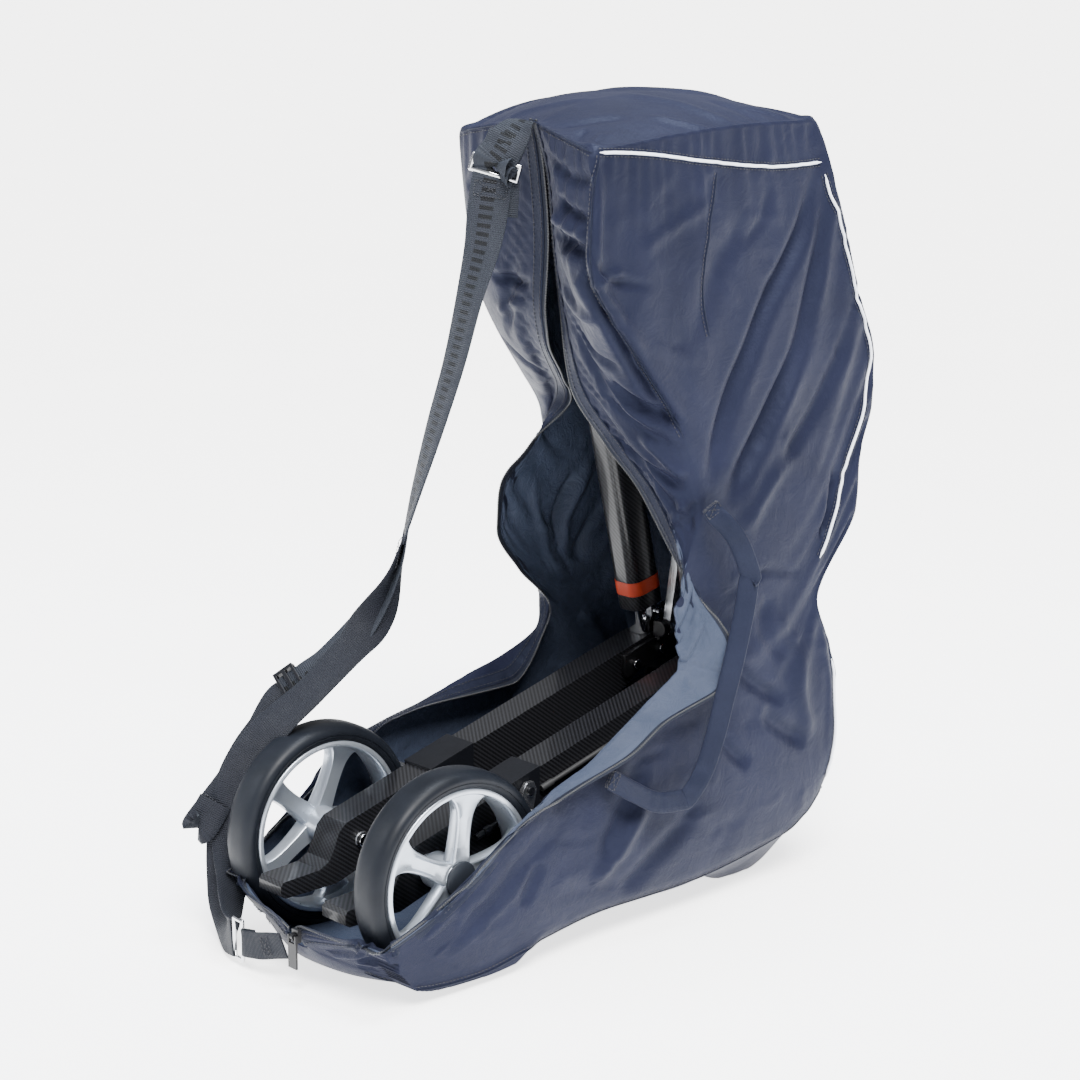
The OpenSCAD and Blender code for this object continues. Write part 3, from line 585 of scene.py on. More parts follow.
def wheel(side, first_angle):
    """Tyre, spoked rim and hub cap of a rear wheel."""
    middle, size = centre_of(f"tyre_{side}")
    outer, half = size[2] / 2, size[0] / 2
    inner = outer * 0.84

    def finish(name, parts, material, slot, replaced):
        points, faces, _ = join_parts(parts)
        if side == "left":
            points, faces = mirrored(points, faces)
        mesh = sharpen(mesh_of(name, points + middle, faces))
        place(name, mesh, f"wheel_{side}", [material], slot, replaced)

    tread = lathe(tyre_profile(inner, outer, half), 160)
    finish(f"rear_tyre_{side}", [tread], TYRE, "tyre", [f"tyre_{side}"])
    rim = [lathe(rim_profile(inner, half), 160), lathe(hub_profile(17, -half - 4, half - 3), 64)]
    rim += [spoke(first_angle + k * 2 * math.pi / 5, 17, inner, 12, -1) for k in range(5)]
    finish(f"spoked_rim_{side}", rim, RIM, "rim", [f"rim_{side}"])
    cap = lathe(disc_profile(17, half - 3, half + 2, 3.2), 64)
    finish(f"hub_cap_cover_{side}", [cap], CAP, "black_plastic", [f"hub_cap_{side}"])


def castor(side):
    node = f"castor_wheel_{side}"
    middle, size = centre_of(node)
    outer, half = size[2] / 2, size[0] / 2
    inner = outer * 0.84
    points, faces, _ = lathe(tyre_profile(inner, outer, half), 128)
    mesh = sharpen(mesh_of("castor_tyre", np.asarray(points) + middle, faces))
    place(f"castor_tyre_{side}", mesh, node, [TYRE], "tyre", [node])
    rim = [lathe(rim_profile(inner, half), 128), lathe(hub_profile(13, -half + 0.6, half - 0.6), 48)]
    rim += [spoke(k * 2 * math.pi / 5 + 0.3, 13, inner, 7, -6) for k in range(5)]
    points, faces, _ = join_parts(rim)
    mesh = sharpen(mesh_of("castor_rim", points + middle, faces))
    place(f"castor_rim_{side}", mesh, node, [RIM], "rim")


# ---------------------------------------------------------------- the bag's shell

# One station to a row, from the crown down the boot's shaft, round the heel and along the foot to the toe.
# Each lists, in millimetres, the right zip edge, right front ridge, right back corner, middle of the back or
# base, left back corner, left front ridge and left zip edge.
STATIONS = [
    [(12, -13, 766), (126, -45, 746), (119, 263, 762), (0, 268, 771),
     (-120, 250, 767), (-125, 6, 748), (12, -13, 766)],
    [(17, 2, 715), (129, -51, 700), (129, 280, 700), (0, 284, 712),
     (-127, 264, 705), (-129, 17, 700), (8, 0, 715)],
    [(18, 8, 655), (130, -55, 645), (128, 301, 648), (0, 310, 650),
     (-127, 295, 650), (-130, 25, 650), (8, 5, 655)],
    [(22, 14, 590), (130, -20, 597), (128, 322, 585), (0, 332, 590),
     (-127, 320, 590), (-130, 38, 600), (6, 4, 600)],
    [(28, 24, 520), (129, 28, 543), (127, 348, 532), (0, 350, 532),
     (-126, 344, 532), (-130, 62, 560), (2, 12, 560)],
    [(45, 54, 462), (128, 69, 494), (125, 348, 482), (0, 350, 485),
     (-126, 346, 485), (-130, 95, 515), (-20, 50, 520)],
    [(66, 84, 410), (127, 94, 442), (126, 330, 425), (0, 338, 425),
     (-126, 332, 430), (-130, 122, 470), (-90, 118, 470)],
    [(92, 98, 355), (124, 104, 395), (128, 324, 372), (0, 326, 370),
     (-126, 312, 370), (-131, 122, 436), (-122, 108, 430)],
    [(118, 104, 314), (114, 85, 338), (128, 268, 290), (0, 274, 288),
     (-126, 267, 288), (-140, 94, 390), (-136, 80, 384)],
    [(130, 115, 292), (113, 67, 310), (129, 290, 246), (0, 294, 244),
     (-127, 280, 244), (-141, 87, 350), (-135, 74, 345)],
    [(138, 125, 266), (113, 70, 280), (131, 308, 200), (0, 310, 200),
     (-128, 294, 200), (-142, 113, 309), (-136, 103, 300)],
    [(140, 126, 236), (113, 76, 252), (130, 309, 146), (0, 311, 146),
     (-128, 296, 146), (-144, 135, 272), (-126, 129, 262)],
    [(138, 107, 226), (113, 47, 232), (128, 297, 97), (0, 304, 98),
     (-127, 284, 97), (-132, 128, 240), (-113, 112, 236)],
    [(137, 38, 208), (114, -2, 201), (124, 260, 58), (0, 278, 44),
     (-124, 252, 60), (-130, 62, 214), (-111, 66, 192)],
    [(135, -7, 184), (116, -50, 176), (122, 186, 40), (0, 215, 8),
     (-122, 190, 42), (-130, 5, 199), (-111, 10, 190)],
    [(131, -80, 163), (121, -92, 164), (121, 91, 31), (0, 120, 1),
     (-121, 91, 30), (-130, -52, 182), (-112, -42, 187)],
    [(129, -136, 140), (127, -132, 146), (122, -18, 33), (0, 20, 1),
     (-122, -20, 28), (-130, -106, 171), (-116, -92, 178)],
    [(128, -192, 104), (129, -186, 110), (126, -110, 24), (0, -70, 1),
     (-126, -110, 22), (-131, -160, 140), (-126, -156, 138)],
    [(126, -246, 77), (128, -240, 80), (125, -180, 12), (0, -150, 1),
     (-125, -180, 14), (-131, -218, 98), (-127, -216, 96)],
    [(98, -294, 62), (108, -290, 64), (119, -230, 16), (0, -215, 2),
     (-120, -228, 20), (-126, -258, 76), (-118, -264, 74)],
    [(62, -303, 61), (70, -302, 59), (98, -262, 24), (0, -262, 8),
     (-98, -256, 30), (-88, -282, 64), (-74, -292, 65)],
    [(34, -307, 60), (38, -307, 55), (56, -288, 36), (5, -285, 26),
     (-34, -286, 38), (-38, -300, 58), (-8, -306, 60)],
    [(24, -308, 55), (26, -307, 51), (30, -301, 42), (15, -297, 38),
     (0, -300, 42), (4, -306, 50), (10, -308, 55)],
]
# How far each panel bows outwards at its middle, station by station
SIDE_BOW = [6, 6, 8, 9, 9, 8, 7, 7, 8, 9, 10, 9, 8, 8, 8, 7, 4, 2, 2, 2, 1, 0, 0]
FLAP_BOW = [2, 8, 10, 10, 8, 8, 6, 4, 2, 1, 1, 1, 2, 3, 3, 2, 0, 0, 0, 0, 0, 0, 0]
CORNERS = np.cumsum((0,) + PANEL_COLUMNS)


def panel(a, b, n, bow):
    """n steps from a to b, bowed out by the vector bow."""
    t = (np.arange(n) / n)[:, None, None]
    return a + (b - a) * t + bow * np.sin(math.pi * t)


def quarter(a, b, n, rising):
    """n steps from a to b that leave or reach the middle of the back level."""
    t = (np.arange(n) / n)[:, None, None]
    ease = np.sin(t * math.pi / 2) if rising else 1 - np.cos(t * math.pi / 2)
    straight = a + (b - a) * t
    eased = a + (b - a) * ease
    return np.concatenate([straight[:, :, :1], eased[:, :, 1:]], 2)


def shell_grid():
    """The loft as an array of rows, columns and xyz."""
    seams = [through([row[k] for row in STATIONS], STEPS, firm=True) for k in range(7)]
    side = through([(v, 0, 0) for v in SIDE_BOW], STEPS, firm=True)
    flap = through([(v, 0, 0) for v in FLAP_BOW], STEPS, firm=True)
    forward = flap[:, :1] * (0.15, -1, 0.35)
    widths = PANEL_COLUMNS
    columns = [
        panel(seams[0], seams[1], widths[0], forward),
        panel(seams[1], seams[2], widths[1], side),
        quarter(seams[2], seams[3], widths[2], True),
        quarter(seams[3], seams[4], widths[3], False),
        panel(seams[4], seams[5], widths[4], -side),
        panel(seams[5], seams[6], widths[5], forward * (-1, 1, 1)),
        seams[6][None],
    ]
    return np.concatenate(columns, 0).transpose(1, 0, 2)


def rim_columns(scale=1):
    """Columns of the top row along the crown's front, rear, left and right edges."""
    c = CORNERS * scale
    front = list(range(c[5], c[6])) + list(range(0, c[1] + 1))
    rear, left = range(c[4], c[2] - 1, -1), range(c[5], c[4] - 1, -1)
    return front, list(rear), list(left), list(range(c[1], c[2] + 1))


def crown_grid(rim):
    """Coons patch over the top, its four edges taken from the first row of the shell, with a flat dome."""
    front, rear, left, right = rim_columns()
    a, b, c, d = rim[front], rim[rear], rim[left], rim[right]
    u = np.linspace(0, 1, len(front))[None, :, None]
    v = np.linspace(0, 1, len(left))[:, None, None]
    patch = (
        (1 - v) * a[None] + v * b[None] + (1 - u) * c[:, None] + u * d[:, None]
        - (1 - u) * (1 - v) * a[0] - u * (1 - v) * a[-1] - (1 - u) * v * b[0] - u * v * b[-1]
    )
    dome = (1 - np.abs(2 * u - 1) ** 4) * (1 - np.abs(2 * v - 1) ** 6)
    patch[:, :, 2:] += CROWN_RISE * dome
    return patch


def smooth_grid(grid, rounds, hold):
    """Evens out the grid, except where hold is 1."""
    keep = hold[:, :, None]
    for _ in range(rounds):
        near = grid.copy()
        near[1:-1] += grid[:-2] + grid[2:] - 2 * grid[1:-1]
        near[:, 1:-1] += 2 * (grid[:, :-2] + grid[:, 2:] - 2 * grid[:, 1:-1])
        grid = grid + (near - grid) * 0.16 * (1 - keep)
    return grid


def grid_normals(grid):
    down, across = np.gradient(grid, axis=0), np.gradient(grid, axis=1)
    return unit(np.cross(down, across))


def finer(grid):
    """Twice the rows and columns, on smooth curves through the old points."""
    for axis in (0, 1):
        old = np.moveaxis(grid, axis, 0)
        new = np.empty((2 * len(old) - 1, *old.shape[1:]))
        new[::2] = old
        new[3:-3:2] = (9 * (old[1:-2] + old[2:-1]) - old[:-3] - old[3:]) / 16
        new[1], new[-2] = (old[0] + old[1]) / 2, (old[-2] + old[-1]) / 2
        grid = np.moveaxis(new, 0, axis)
    return grid


def sample(grid, row, column):
    """The grid's value between its points."""
    row = np.clip(row, 0, grid.shape[0] - 1.001)
    column = np.clip(column, 0, grid.shape[1] - 1.001)
    i, j = row.astype(int), column.astype(int)
    a, b = (row - i)[:, None], (column - j)[:, None]
    return ((1 - a) * (1 - b) * grid[i, j] + a * (1 - b) * grid[i + 1, j]
            + (1 - a) * b * grid[i, j + 1] + a * b * grid[i + 1, j + 1])


def on_loft(line, scale, steps=20):
    """Row and column numbers along a line of (station, panel share) pairs."""
    columns = np.interp([share for _, share in line], range(7), CORNERS) * scale
    path = through([(station * STEPS * scale, c, 0) for (station, _), c in zip(line, columns)], steps)
    return path[:, 0], path[:, 1]


# Folds as (line, width, height). A line runs through (station, panel share) pairs: the share is 0 to 1 over
# the right flap, 1 to 2 over the right side, 2 to 4 round the back or base, 4 to 5 over the left side and
# 5 to 6 over the left flap. Width and height are in millimetres, and a height below 0 is a valley.
FOLDS = [
    # the deep valleys and ridges that fan down the side from its top back corner
    ([(0.7, 1.92), (1.3, 1.87), (2, 1.78), (2.8, 1.62), (3.5, 1.48), (4.3, 1.33), (5.3, 1.17), (6.2, 1.06)],
     9, -9),
    ([(0.9, 1.97), (1.5, 1.93), (2.2, 1.87), (3, 1.77), (3.7, 1.66), (4.5, 1.53), (5.7, 1.32), (6.7, 1.14)],
     11, -12),
    ([(1.2, 1.96), (1.8, 1.92), (2.7, 1.83), (3.7, 1.67), (4.7, 1.53), (5.5, 1.39)], 9, 5),
    ([(3.4, 1.9), (3.7, 1.86), (4.7, 1.72), (5.5, 1.58), (6.2, 1.44)], 8, -4),
    ([(1.5, 1.61), (1.8, 1.53), (2.8, 1.36), (3.5, 1.25)], 14, -3),
    ([(1.0, 1.45), (1.2, 1.42), (1.8, 1.19)], 7, 2),
    ([(0.9, 1.72), (1.5, 1.66), (1.9, 1.57)], 6, -2),
    # the side hangs over the flap along the front ridge
    ([(0.2, 1.0), (1.0, 0.94), (1.5, 0.88), (2.2, 0.88), (3.0, 0.94), (4.3, 0.94), (5.2, 1.0)], 6, -9),
    ([(0.3, 1.06), (1.5, 1.03), (2.6, 1.03), (3.6, 1.05)], 7, 3),
    ([(1.5, 0.94), (2.2, 1.08), (2.4, 1.2)], 4, -3),
    ([(2.3, 0.94), (2.2, 1.08), (2.1, 1.14)], 5, 3),
    # crossing folds on the right flap
    ([(0.5, 0.2), (0.7, 0.6), (0.6, 0.95)], 6, -4),
    ([(1.2, 0.38), (1.3, 0.7), (1.3, 0.94)], 5, -6),
    ([(1.5, 0.25), (1.6, 0.6), (1.7, 0.88)], 7, 5),
    ([(1.8, 0.25), (1.8, 0.75), (2.2, 0.88), (2.8, 0.88)], 9, -9),
    ([(2.6, 0.2), (2.9, 0.5), (3.0, 0.85)], 7, 4),
    ([(3.2, 0.3), (3.6, 0.55), (3.8, 0.8)], 5, -4),
    ([(4.0, 0.56), (4.5, 0.75), (5.0, 1.0)], 7, -9),
    ([(3.8, 0.4), (4.5, 0.6), (5.0, 0.8)], 5, 3),
    ([(5.0, 0.12), (5.5, 0.38), (6.2, 0.81)], 5, -5),
    ([(5.0, 0.56), (5.5, 0.69), (6.0, 0.88)], 7, 5),
    ([(6.5, 0.94), (6.8, 0.8), (7.0, 0.69)], 5, -3),
    ([(6.4, 0.8), (6.5, 0.6), (6.7, 0.38)], 5, 3),
    # left flap
    ([(0.5, 5.56), (0.8, 5.4), (1.2, 5.19)], 5, -4),
    ([(1.8, 5.19), (2.3, 5.19), (2.9, 5.3)], 5, -4),
    ([(2.7, 5.44), (2.8, 5.7), (2.8, 5.88)], 5, -5),
    ([(3.5, 5.44), (3.3, 5.6), (3.2, 5.81)], 6, 4),
    ([(4.2, 5.2), (4.6, 5.5), (5.2, 5.8)], 6, -4),
    # inside of the left side's ear
    ([(7.7, 4.89), (8.8, 4.72), (10.0, 4.69)], 5, -3),
    ([(7.3, 4.69), (8.2, 4.64), (9.5, 4.58)], 6, 6),
    ([(7.0, 4.61), (8.0, 4.6), (9.7, 4.61)], 8, -6),
    ([(7.5, 4.39), (8.2, 4.44), (9.0, 4.5)], 8, 5),
    # the waist and the hollow behind the piping
    ([(7.2, 1.25), (6.3, 1.42), (5.7, 1.56)], 9, 4),
    ([(8.5, 1.39), (8.2, 1.44), (7.7, 1.5), (7.7, 1.78)], 4, -3),
    ([(6.2, 1.83), (6.7, 1.81), (7.3, 1.81)], 5, -8),
    ([(8.0, 1.6), (9.0, 1.55), (9.8, 1.62)], 9, -3),
    ([(9.2, 1.75), (10.4, 1.72), (11.4, 1.8)], 11, 4),
    # the heel and the foot
    ([(10.0, 1.33), (10.5, 1.42), (10.8, 1.61)], 8, -5),
    ([(11.2, 1.5), (11.4, 1.62), (11.5, 1.78)], 9, -5),
    ([(12.2, 1.36), (12.4, 1.46), (12.5, 1.56)], 8, -5),
    ([(13.3, 1.17), (14.7, 1.36), (15.5, 1.56)], 12, -4),
    ([(13.5, 1.5), (14.8, 1.67), (15.7, 1.86)], 11, -4),
    ([(13.9, 1.32), (15.0, 1.5), (15.9, 1.72)], 9, 4),
    ([(15.3, 1.17), (16.8, 1.28), (18.2, 1.42)], 9, -4),
    ([(16.2, 1.33), (16.6, 1.46), (16.8, 1.56)], 7, -4),
    ([(17.5, 1.2), (18.6, 1.4), (19.2, 1.7)], 7, -4),
    ([(18.6, 1.15), (19.4, 1.35), (20.1, 1.5)], 6, -4),
    ([(19.5, 1.2), (20.3, 1.4), (20.9, 1.6)], 5, 3),
    # the back
    ([(0.8, 2.4), (2.2, 2.7), (4.0, 2.8)], 12, -4),
    ([(2.5, 3.4), (4.0, 3.2), (5.6, 3.3)], 12, -4),
    ([(5.6, 2.3), (6.4, 2.8), (6.6, 3.4)], 10, -6),
    ([(6.9, 2.5), (7.2, 3.0), (7.0, 3.6)], 9, -5),
    ([(9.0, 2.4), (10.4, 2.6), (11.6, 2.5)], 10, -3),
    # the left side, from its own top back corner
    ([(0.2, 4.04), (1.6, 4.14), (3.0, 4.34), (4.6, 4.6), (6.0, 4.86)], 10, -9),
    ([(1.0, 4.0), (2.4, 4.1), (3.8, 4.3), (5.4, 4.56)], 9, 5),
    ([(10.5, 4.6), (11.0, 4.45), (11.2, 4.3)], 9, -5),
    ([(13.4, 4.75), (14.6, 4.55), (15.6, 4.35)], 11, -4),
]
# The same for the crown, on (share from front to back, share from left to right)
CROWN_FOLDS = [
    ([(0.02, 0.96), (0.06, 0.9), (0.14, 0.84)], 5, -4),
    ([(0.01, 0.86), (0.05, 0.8), (0.1, 0.76)], 5, 3),
    ([(0.03, 0.1), (0.05, 0.2), (0.03, 0.32)], 5, -3),
    ([(0.03, 0.6), (0.12, 0.7), (0.28, 0.78)], 8, 3),
    ([(0.5, 0.99), (0.42, 0.9), (0.34, 0.8)], 6, -3),
    ([(0.62, 0.99), (0.56, 0.84), (0.52, 0.7), (0.42, 0.5)], 9, -3),
    ([(0.76, 0.98), (0.72, 0.86), (0.7, 0.7)], 9, 3),
    ([(0.9, 0.94), (0.82, 0.86), (0.76, 0.8)], 7, -3),
    ([(0.9, 0.6), (0.7, 0.45), (0.45, 0.3)], 12, -4),
    ([(0.3, 0.5), (0.18, 0.35), (0.08, 0.22)], 9, -3),
]


def little_folds(count):
    """Short faint creases all over, a steady but irregular scatter."""
    chance = np.random.default_rng(SEED)
    made = []
    for _ in range(count):
        station = chance.uniform(0.4, 20)
        share = chance.choice([0, 1, 1, 1, 2, 3, 4, 5]) + chance.uniform(0.1, 0.9)
        down, across = chance.uniform(-0.9, 0.9), chance.uniform(-0.2, 0.2)
        middle = (station + down / 2, share + across / 2 + chance.uniform(-0.05, 0.05))
        line = [(station, share), middle, (station + down, share + across)]
        made.append((line, chance.uniform(5, 9), chance.uniform(0.5, 1.7) * chance.choice([-1, 1])))
    return made


def press(grid, lines, reach=3.2):
    """Raises or sinks the grid along (rows, columns, width, height), with a slight rise on either side."""
    lift = np.zeros(grid.shape[:2])
    for row, column, width, height in lines:
        path = sample(grid, row, column)
        share = lengths(path) / max(lengths(path)[-1], 1e-6)
        best, place_on = np.full(grid.shape[:2], 1e9), np.zeros(grid.shape[:2])
        span = int(width * reach / 2.6) + 3
        for k in range(len(path)):
            r, c = max(0, int(row[k]) - span), max(0, int(column[k]) - span)
            patch = grid[r:int(row[k]) + span, c:int(column[k]) + span]
            d = np.linalg.norm(patch - path[k], axis=2)
            window = best[r:r + d.shape[0], c:c + d.shape[1]]
            closer = d < window
            window[closer] = d[closer]
            place_on[r:r + d.shape[0], c:c + d.shape[1]][closer] = share[k]
        fade = np.sin(np.clip(np.minimum(place_on, 1 - place_on) * 4, 0, 1) * math.pi / 2)
        near = best / width
        lift += height * fade * (np.exp(-(near**2)) - 0.22 * np.exp(-((near / 2.1) ** 2)))
    return grid + grid_normals(grid) * lift[:, :, None]


def shell_mesh(grid, patch, scale):
    """Shell and crown as one mesh, with the mesh's point numbers on the two grids."""
    rows, columns, _ = grid.shape
    u, v = np.zeros((2, rows, columns))
    u[:, 1:] = np.cumsum(np.linalg.norm(np.diff(grid, axis=1), axis=2), 1)
    v[1:] = np.cumsum(np.linalg.norm(np.diff(grid, axis=0), axis=2), 0)
    u -= u[:, columns // 2:columns // 2 + 1]
    uv = np.stack([u, v], 2).reshape(-1, 2) * MM
    index = np.arange(rows * columns).reshape(rows, columns)
    index[0, -1] = 0
    high, wide, _ = patch.shape
    crown = np.arange(high * wide).reshape(high, wide) + rows * columns
    for edge, where in zip(rim_columns(scale), (crown[0], crown[-1], crown[:, 0], crown[:, -1])):
        where[:] = index[0, edge]
    faces = [
        (index[r, c], index[r + 1, c], index[r + 1, c + 1], index[r, c + 1])
        for r in range(rows - 1) for c in range(columns - 1)
    ]
    faces += [
        (crown[r, c], crown[r, c + 1], crown[r + 1, c + 1], crown[r + 1, c])
        for r in range(high - 1) for c in range(wide - 1)
    ]
    points = np.vstack([grid.reshape(-1, 3), patch.reshape(-1, 3)])
    uv = np.vstack([uv, patch.reshape(-1, 3)[:, :2] * MM])
    faces = np.array(faces)
    used = np.unique(faces)
    renumber = np.zeros(len(points), int)
    renumber[used] = np.arange(len(used))
    return mesh_of("bag_shell", points[used], renumber[faces], uv[used]), renumber[index], renumber[crown]


def drape(grid, patch, frames=22, cap=9):
    """Lets the shell hang as cloth a little too big, held at its zip, its corners and the floor."""
    mesh, index, crown = shell_mesh(grid, patch, 1)
    piece = bpy.data.objects.new("draping", mesh)
    bpy.context.scene.collection.objects.link(piece)
    rest = points_of(mesh)
    weight = np.clip((14 * MM - rest[:, 2]) / (8 * MM), 0, 1) * 0.9
    ridge, corner = CORNERS[1:3]
    # from a station on, columns counted in from either zip edge, and how firmly they are held
    holds = [(0, 0, 1, 1), (0, 2, 3, 0.8), (0, 4, 5, 0.5), (0, ridge, ridge, 0.3), (11, 0, ridge, 0.95),
             (11, ridge + 1, ridge + 3, 0.6), (12, ridge, corner, 0.3)]
    for station, first, last, most in holds:
        for c in range(first, last + 1):
            for column in (c, -1 - c):
                spots = index[station * STEPS:, column]
                weight[spots] = np.maximum(weight[spots], most)
    spots = index[:9 * STEPS, [CORNERS[2], CORNERS[4]]]
    weight[spots] = np.maximum(weight[spots], 0.7)
    weight[index[0]] = weight[index[-1]] = 1
    group = piece.vertex_groups.new(name="held")
    for i, w in enumerate(weight):
        if w > 0:
            group.add([i], float(w), "REPLACE")
    cloth = piece.modifiers.new("cloth", "CLOTH")
    settings = {
        "quality": 5, "mass": 0.25, "tension_stiffness": 22, "compression_stiffness": 6,
        "shear_stiffness": 6, "bending_stiffness": 0.35, "shrink_min": -0.03, "vertex_group_mass": "held",
        "pin_stiffness": 1
    }
    for key, value in settings.items():
        setattr(cloth.settings, key, value)
    cloth.collision_settings.use_collision = False
    scene = bpy.context.scene
    scene.frame_start, scene.frame_end = 1, frames
    for f in range(1, frames + 1):
        scene.frame_set(f)
    hung = piece.evaluated_get(bpy.context.evaluated_depsgraph_get()).data
    moved = (points_of(hung) - rest) / MM
    size = np.linalg.norm(moved, axis=1, keepdims=True)
    moved = moved * cap * np.tanh(size / cap) / np.maximum(size, 1e-6)
    bpy.data.objects.remove(piece)
    bpy.data.meshes.remove(mesh)
    scene.frame_set(1)
    # the foot is drawn tight over the frame, so it moves in broad swells alone
    foot, blend = 9.5, 2.5
    taut = np.clip((np.arange(len(grid)) / STEPS - foot) / blend, 0, 1)[:, None, None]
    shift = moved[index]
    eased = smooth_grid(shift, 24, np.zeros(shift.shape[:2]))
    shift = shift + (eased - shift) * taut
    return rest[index] / MM + shift, rest[crown] / MM + moved[crown]


def keep_clear(grid):
    """Keeps the fabric off the floor, under the castors and outboard of the rear wheels as they move."""
    lowest, right_face, left_face = 1.3, 126.2, -118
    castor_y, castor_z, castor_reach = 203, 90.5, 93
    axle_y, axle_z, axle_reach = -190, 102, 120
    x, y, z = np.moveaxis(grid, 2, 0)
    tread = castor_z - np.sqrt(castor_reach**2 - np.clip(y - castor_y, -88, 88) ** 2)
    inboard = np.clip((114 - np.abs(x)) / 36, 0, 1) ** 2
    under = inboard * np.clip((104 - np.abs(y - castor_y)) / 16, 0, 1) * (z < 64)
    z = np.maximum(z - under * np.maximum(z - tread, 0), lowest)
    near = np.clip((axle_reach - np.hypot(y - axle_y, z - axle_z)) / 14, 0, 1)
    near = near * near * (3 - 2 * near)
    right, left = near * (x > 100), near * (x < -100)
    x = x + right * np.maximum(right_face - x, 0) - left * np.maximum(x - left_face, 0)
    return np.stack([x, y, z], 2)


def soften(grid, patch, reach=22, rounds=9):
    """Rounds the crown's edges, where the cloth only folds over and has no seam."""
    mesh, index, crown = shell_mesh(grid, patch, 1)
    points = points_of(mesh) / MM
    pairs = np.zeros(len(mesh.edges) * 2, int)
    mesh.edges.foreach_get("vertices", pairs)
    bpy.data.meshes.remove(mesh)
    a, b = pairs[::2], pairs[1::2]
    count = np.bincount(pairs, minlength=len(points))[:, None]
    rim = points[index[0, CORNERS[1]:CORNERS[5]]]
    near = np.min(np.linalg.norm(points[:, None] - rim[None], axis=2), axis=1)
    share = 0.5 * np.exp(-((near / reach) ** 2))[:, None]
    for _ in range(rounds):
        total = np.zeros_like(points)
        np.add.at(total, a, points[b])
        np.add.at(total, b, points[a])
        points = points + (total / count - points) * share
    return points[index], points[crown]


def press_crown(patch):
    """Sinks the crown's folds and leaves its edges where they are."""
    high, wide, _ = patch.shape
    lines = []
    for line, width, height in CROWN_FOLDS:
        path = through([(v * (high - 1), u * (wide - 1), 0) for v, u in line], 20)
        lines.append((path[:, 0], path[:, 1], width, height))
    fold = press(patch, lines) - patch
    margin = np.minimum(*np.meshgrid(taper(wide, 3, 0), taper(high, 3, 0)))
    return patch + fold * margin[:, :, None]


def make_shell():
    """The finished shell's mesh, and its grid of points for what is sewn on it."""
    grid = shell_grid()
    hold = np.zeros(grid.shape[:2])
    hold[:10 * STEPS, [CORNERS[2], CORNERS[4]]] = 0.75
    hold[:, [CORNERS[1], CORNERS[5]]] = 0.3
    hold[0] = hold[:, 0] = hold[:, -1] = 1
    grid = smooth_grid(grid, 8, hold)
    for first, last, rise in ((CORNERS[1], CORNERS[2], 8), (CORNERS[4], CORNERS[5], 22)):
        arch = rise * np.sin(np.linspace(0, math.pi, last - first + 1))
        grid[:STEPS, first:last + 1, 2] += arch * (1 - np.arange(STEPS)[:, None] / STEPS) ** 1.5
    grid, patch = soften(grid, crown_grid(grid[0]))
    grid, patch = drape(grid, patch)
    grid, patch = finer(grid), finer(patch)
    folds = [(line, width, height * FOLD_DEPTH) for line, width, height in FOLDS] + little_folds(220)
    grid = press(grid, [(*on_loft(line, 2), width, height) for line, width, height in folds])
    grid = keep_clear(grid)
    mesh, _, _ = shell_mesh(grid, press_crown(patch), 2)
    return mesh, grid


shell_surface, cloth_grid = make_shell()
cloth_normals = grid_normals(cloth_grid)
shell = place("bag_shell", shell_surface, "root", [NYLON, LINING], "nylon",
              ["bag_side_right", "bag_side_left", "bag_top", "bag_back", "bag_base", "bag_toe", "flap_right",
               "flap_left"])
thick = shell.modifiers.new("cloth_thickness", "SOLIDIFY")
thick.thickness = CLOTH
thick.offset = -1
thick.material_offset = 1


# ---------------------------------------------------------------- seams, hems, zip and piping

def on_cloth(line, lift, pitch=3.0):
    """A line on the outside of the shell through (station, panel share) pairs, and the way it faces."""
    row, column = on_loft(line, 2, 30)
    path, face = sample(cloth_grid, row, column), unit(sample(cloth_normals, row, column))
    run = lengths(path)
    spots = np.linspace(0, run[-1], int(run[-1] / pitch) + 2)
    path, face = between(spots, run, path), unit(between(spots, run, face))
    return path + face * lift, face


def beside(path, face, offset):
    """The line moved sideways on the cloth."""
    return path + unit(np.cross(unit(np.gradient(path, axis=0)), face)) * offset


def piece_of(name, parts, material, slot, body="root", replaced=()):
    points, faces, uv = join_parts(parts)
    return place(name, mesh_of(name, points, faces, uv), body, [material], slot, replaced)


PIPED = [
    [(0.03, 1.03), (0.27, 1.25), (0.48, 1.46), (0.65, 1.73), (0.66, 1.96)],
    [(0.85, 1.96), (1.4, 1.97), (2, 1.98), (3, 1.98), (4, 1.97), (5, 1.95), (5.6, 1.92), (6.3, 1.87),
     (7, 1.85), (7.5, 1.85)],
    [(9.5, 1.97), (10.5, 1.96), (11.3, 1.97), (12, 1.97)],
    [(0.2, 4.95), (0.5, 4.5), (0.66, 4.04)],
    [(0.85, 4.04), (2, 4.03), (3, 4.03), (4, 4.03), (5.4, 4.06), (6.3, 4.11), (7.6, 4.13)],
]
cords, flanges = [], []
for run in PIPED:
    path, face = on_cloth(run, 1.2)
    cords.append(tube(path, 1.45 * taper(len(path), 2, 0.25), 10))
    for offset in (-3.6, 3.6):
        line = beside(path - face * 1.3, face, offset)
        flanges.append(stitches(line, face, 4.2, 2.8, 0.38))
piece_of("reflective_piping", cords, PIPING, "piping", replaced=["piping"])

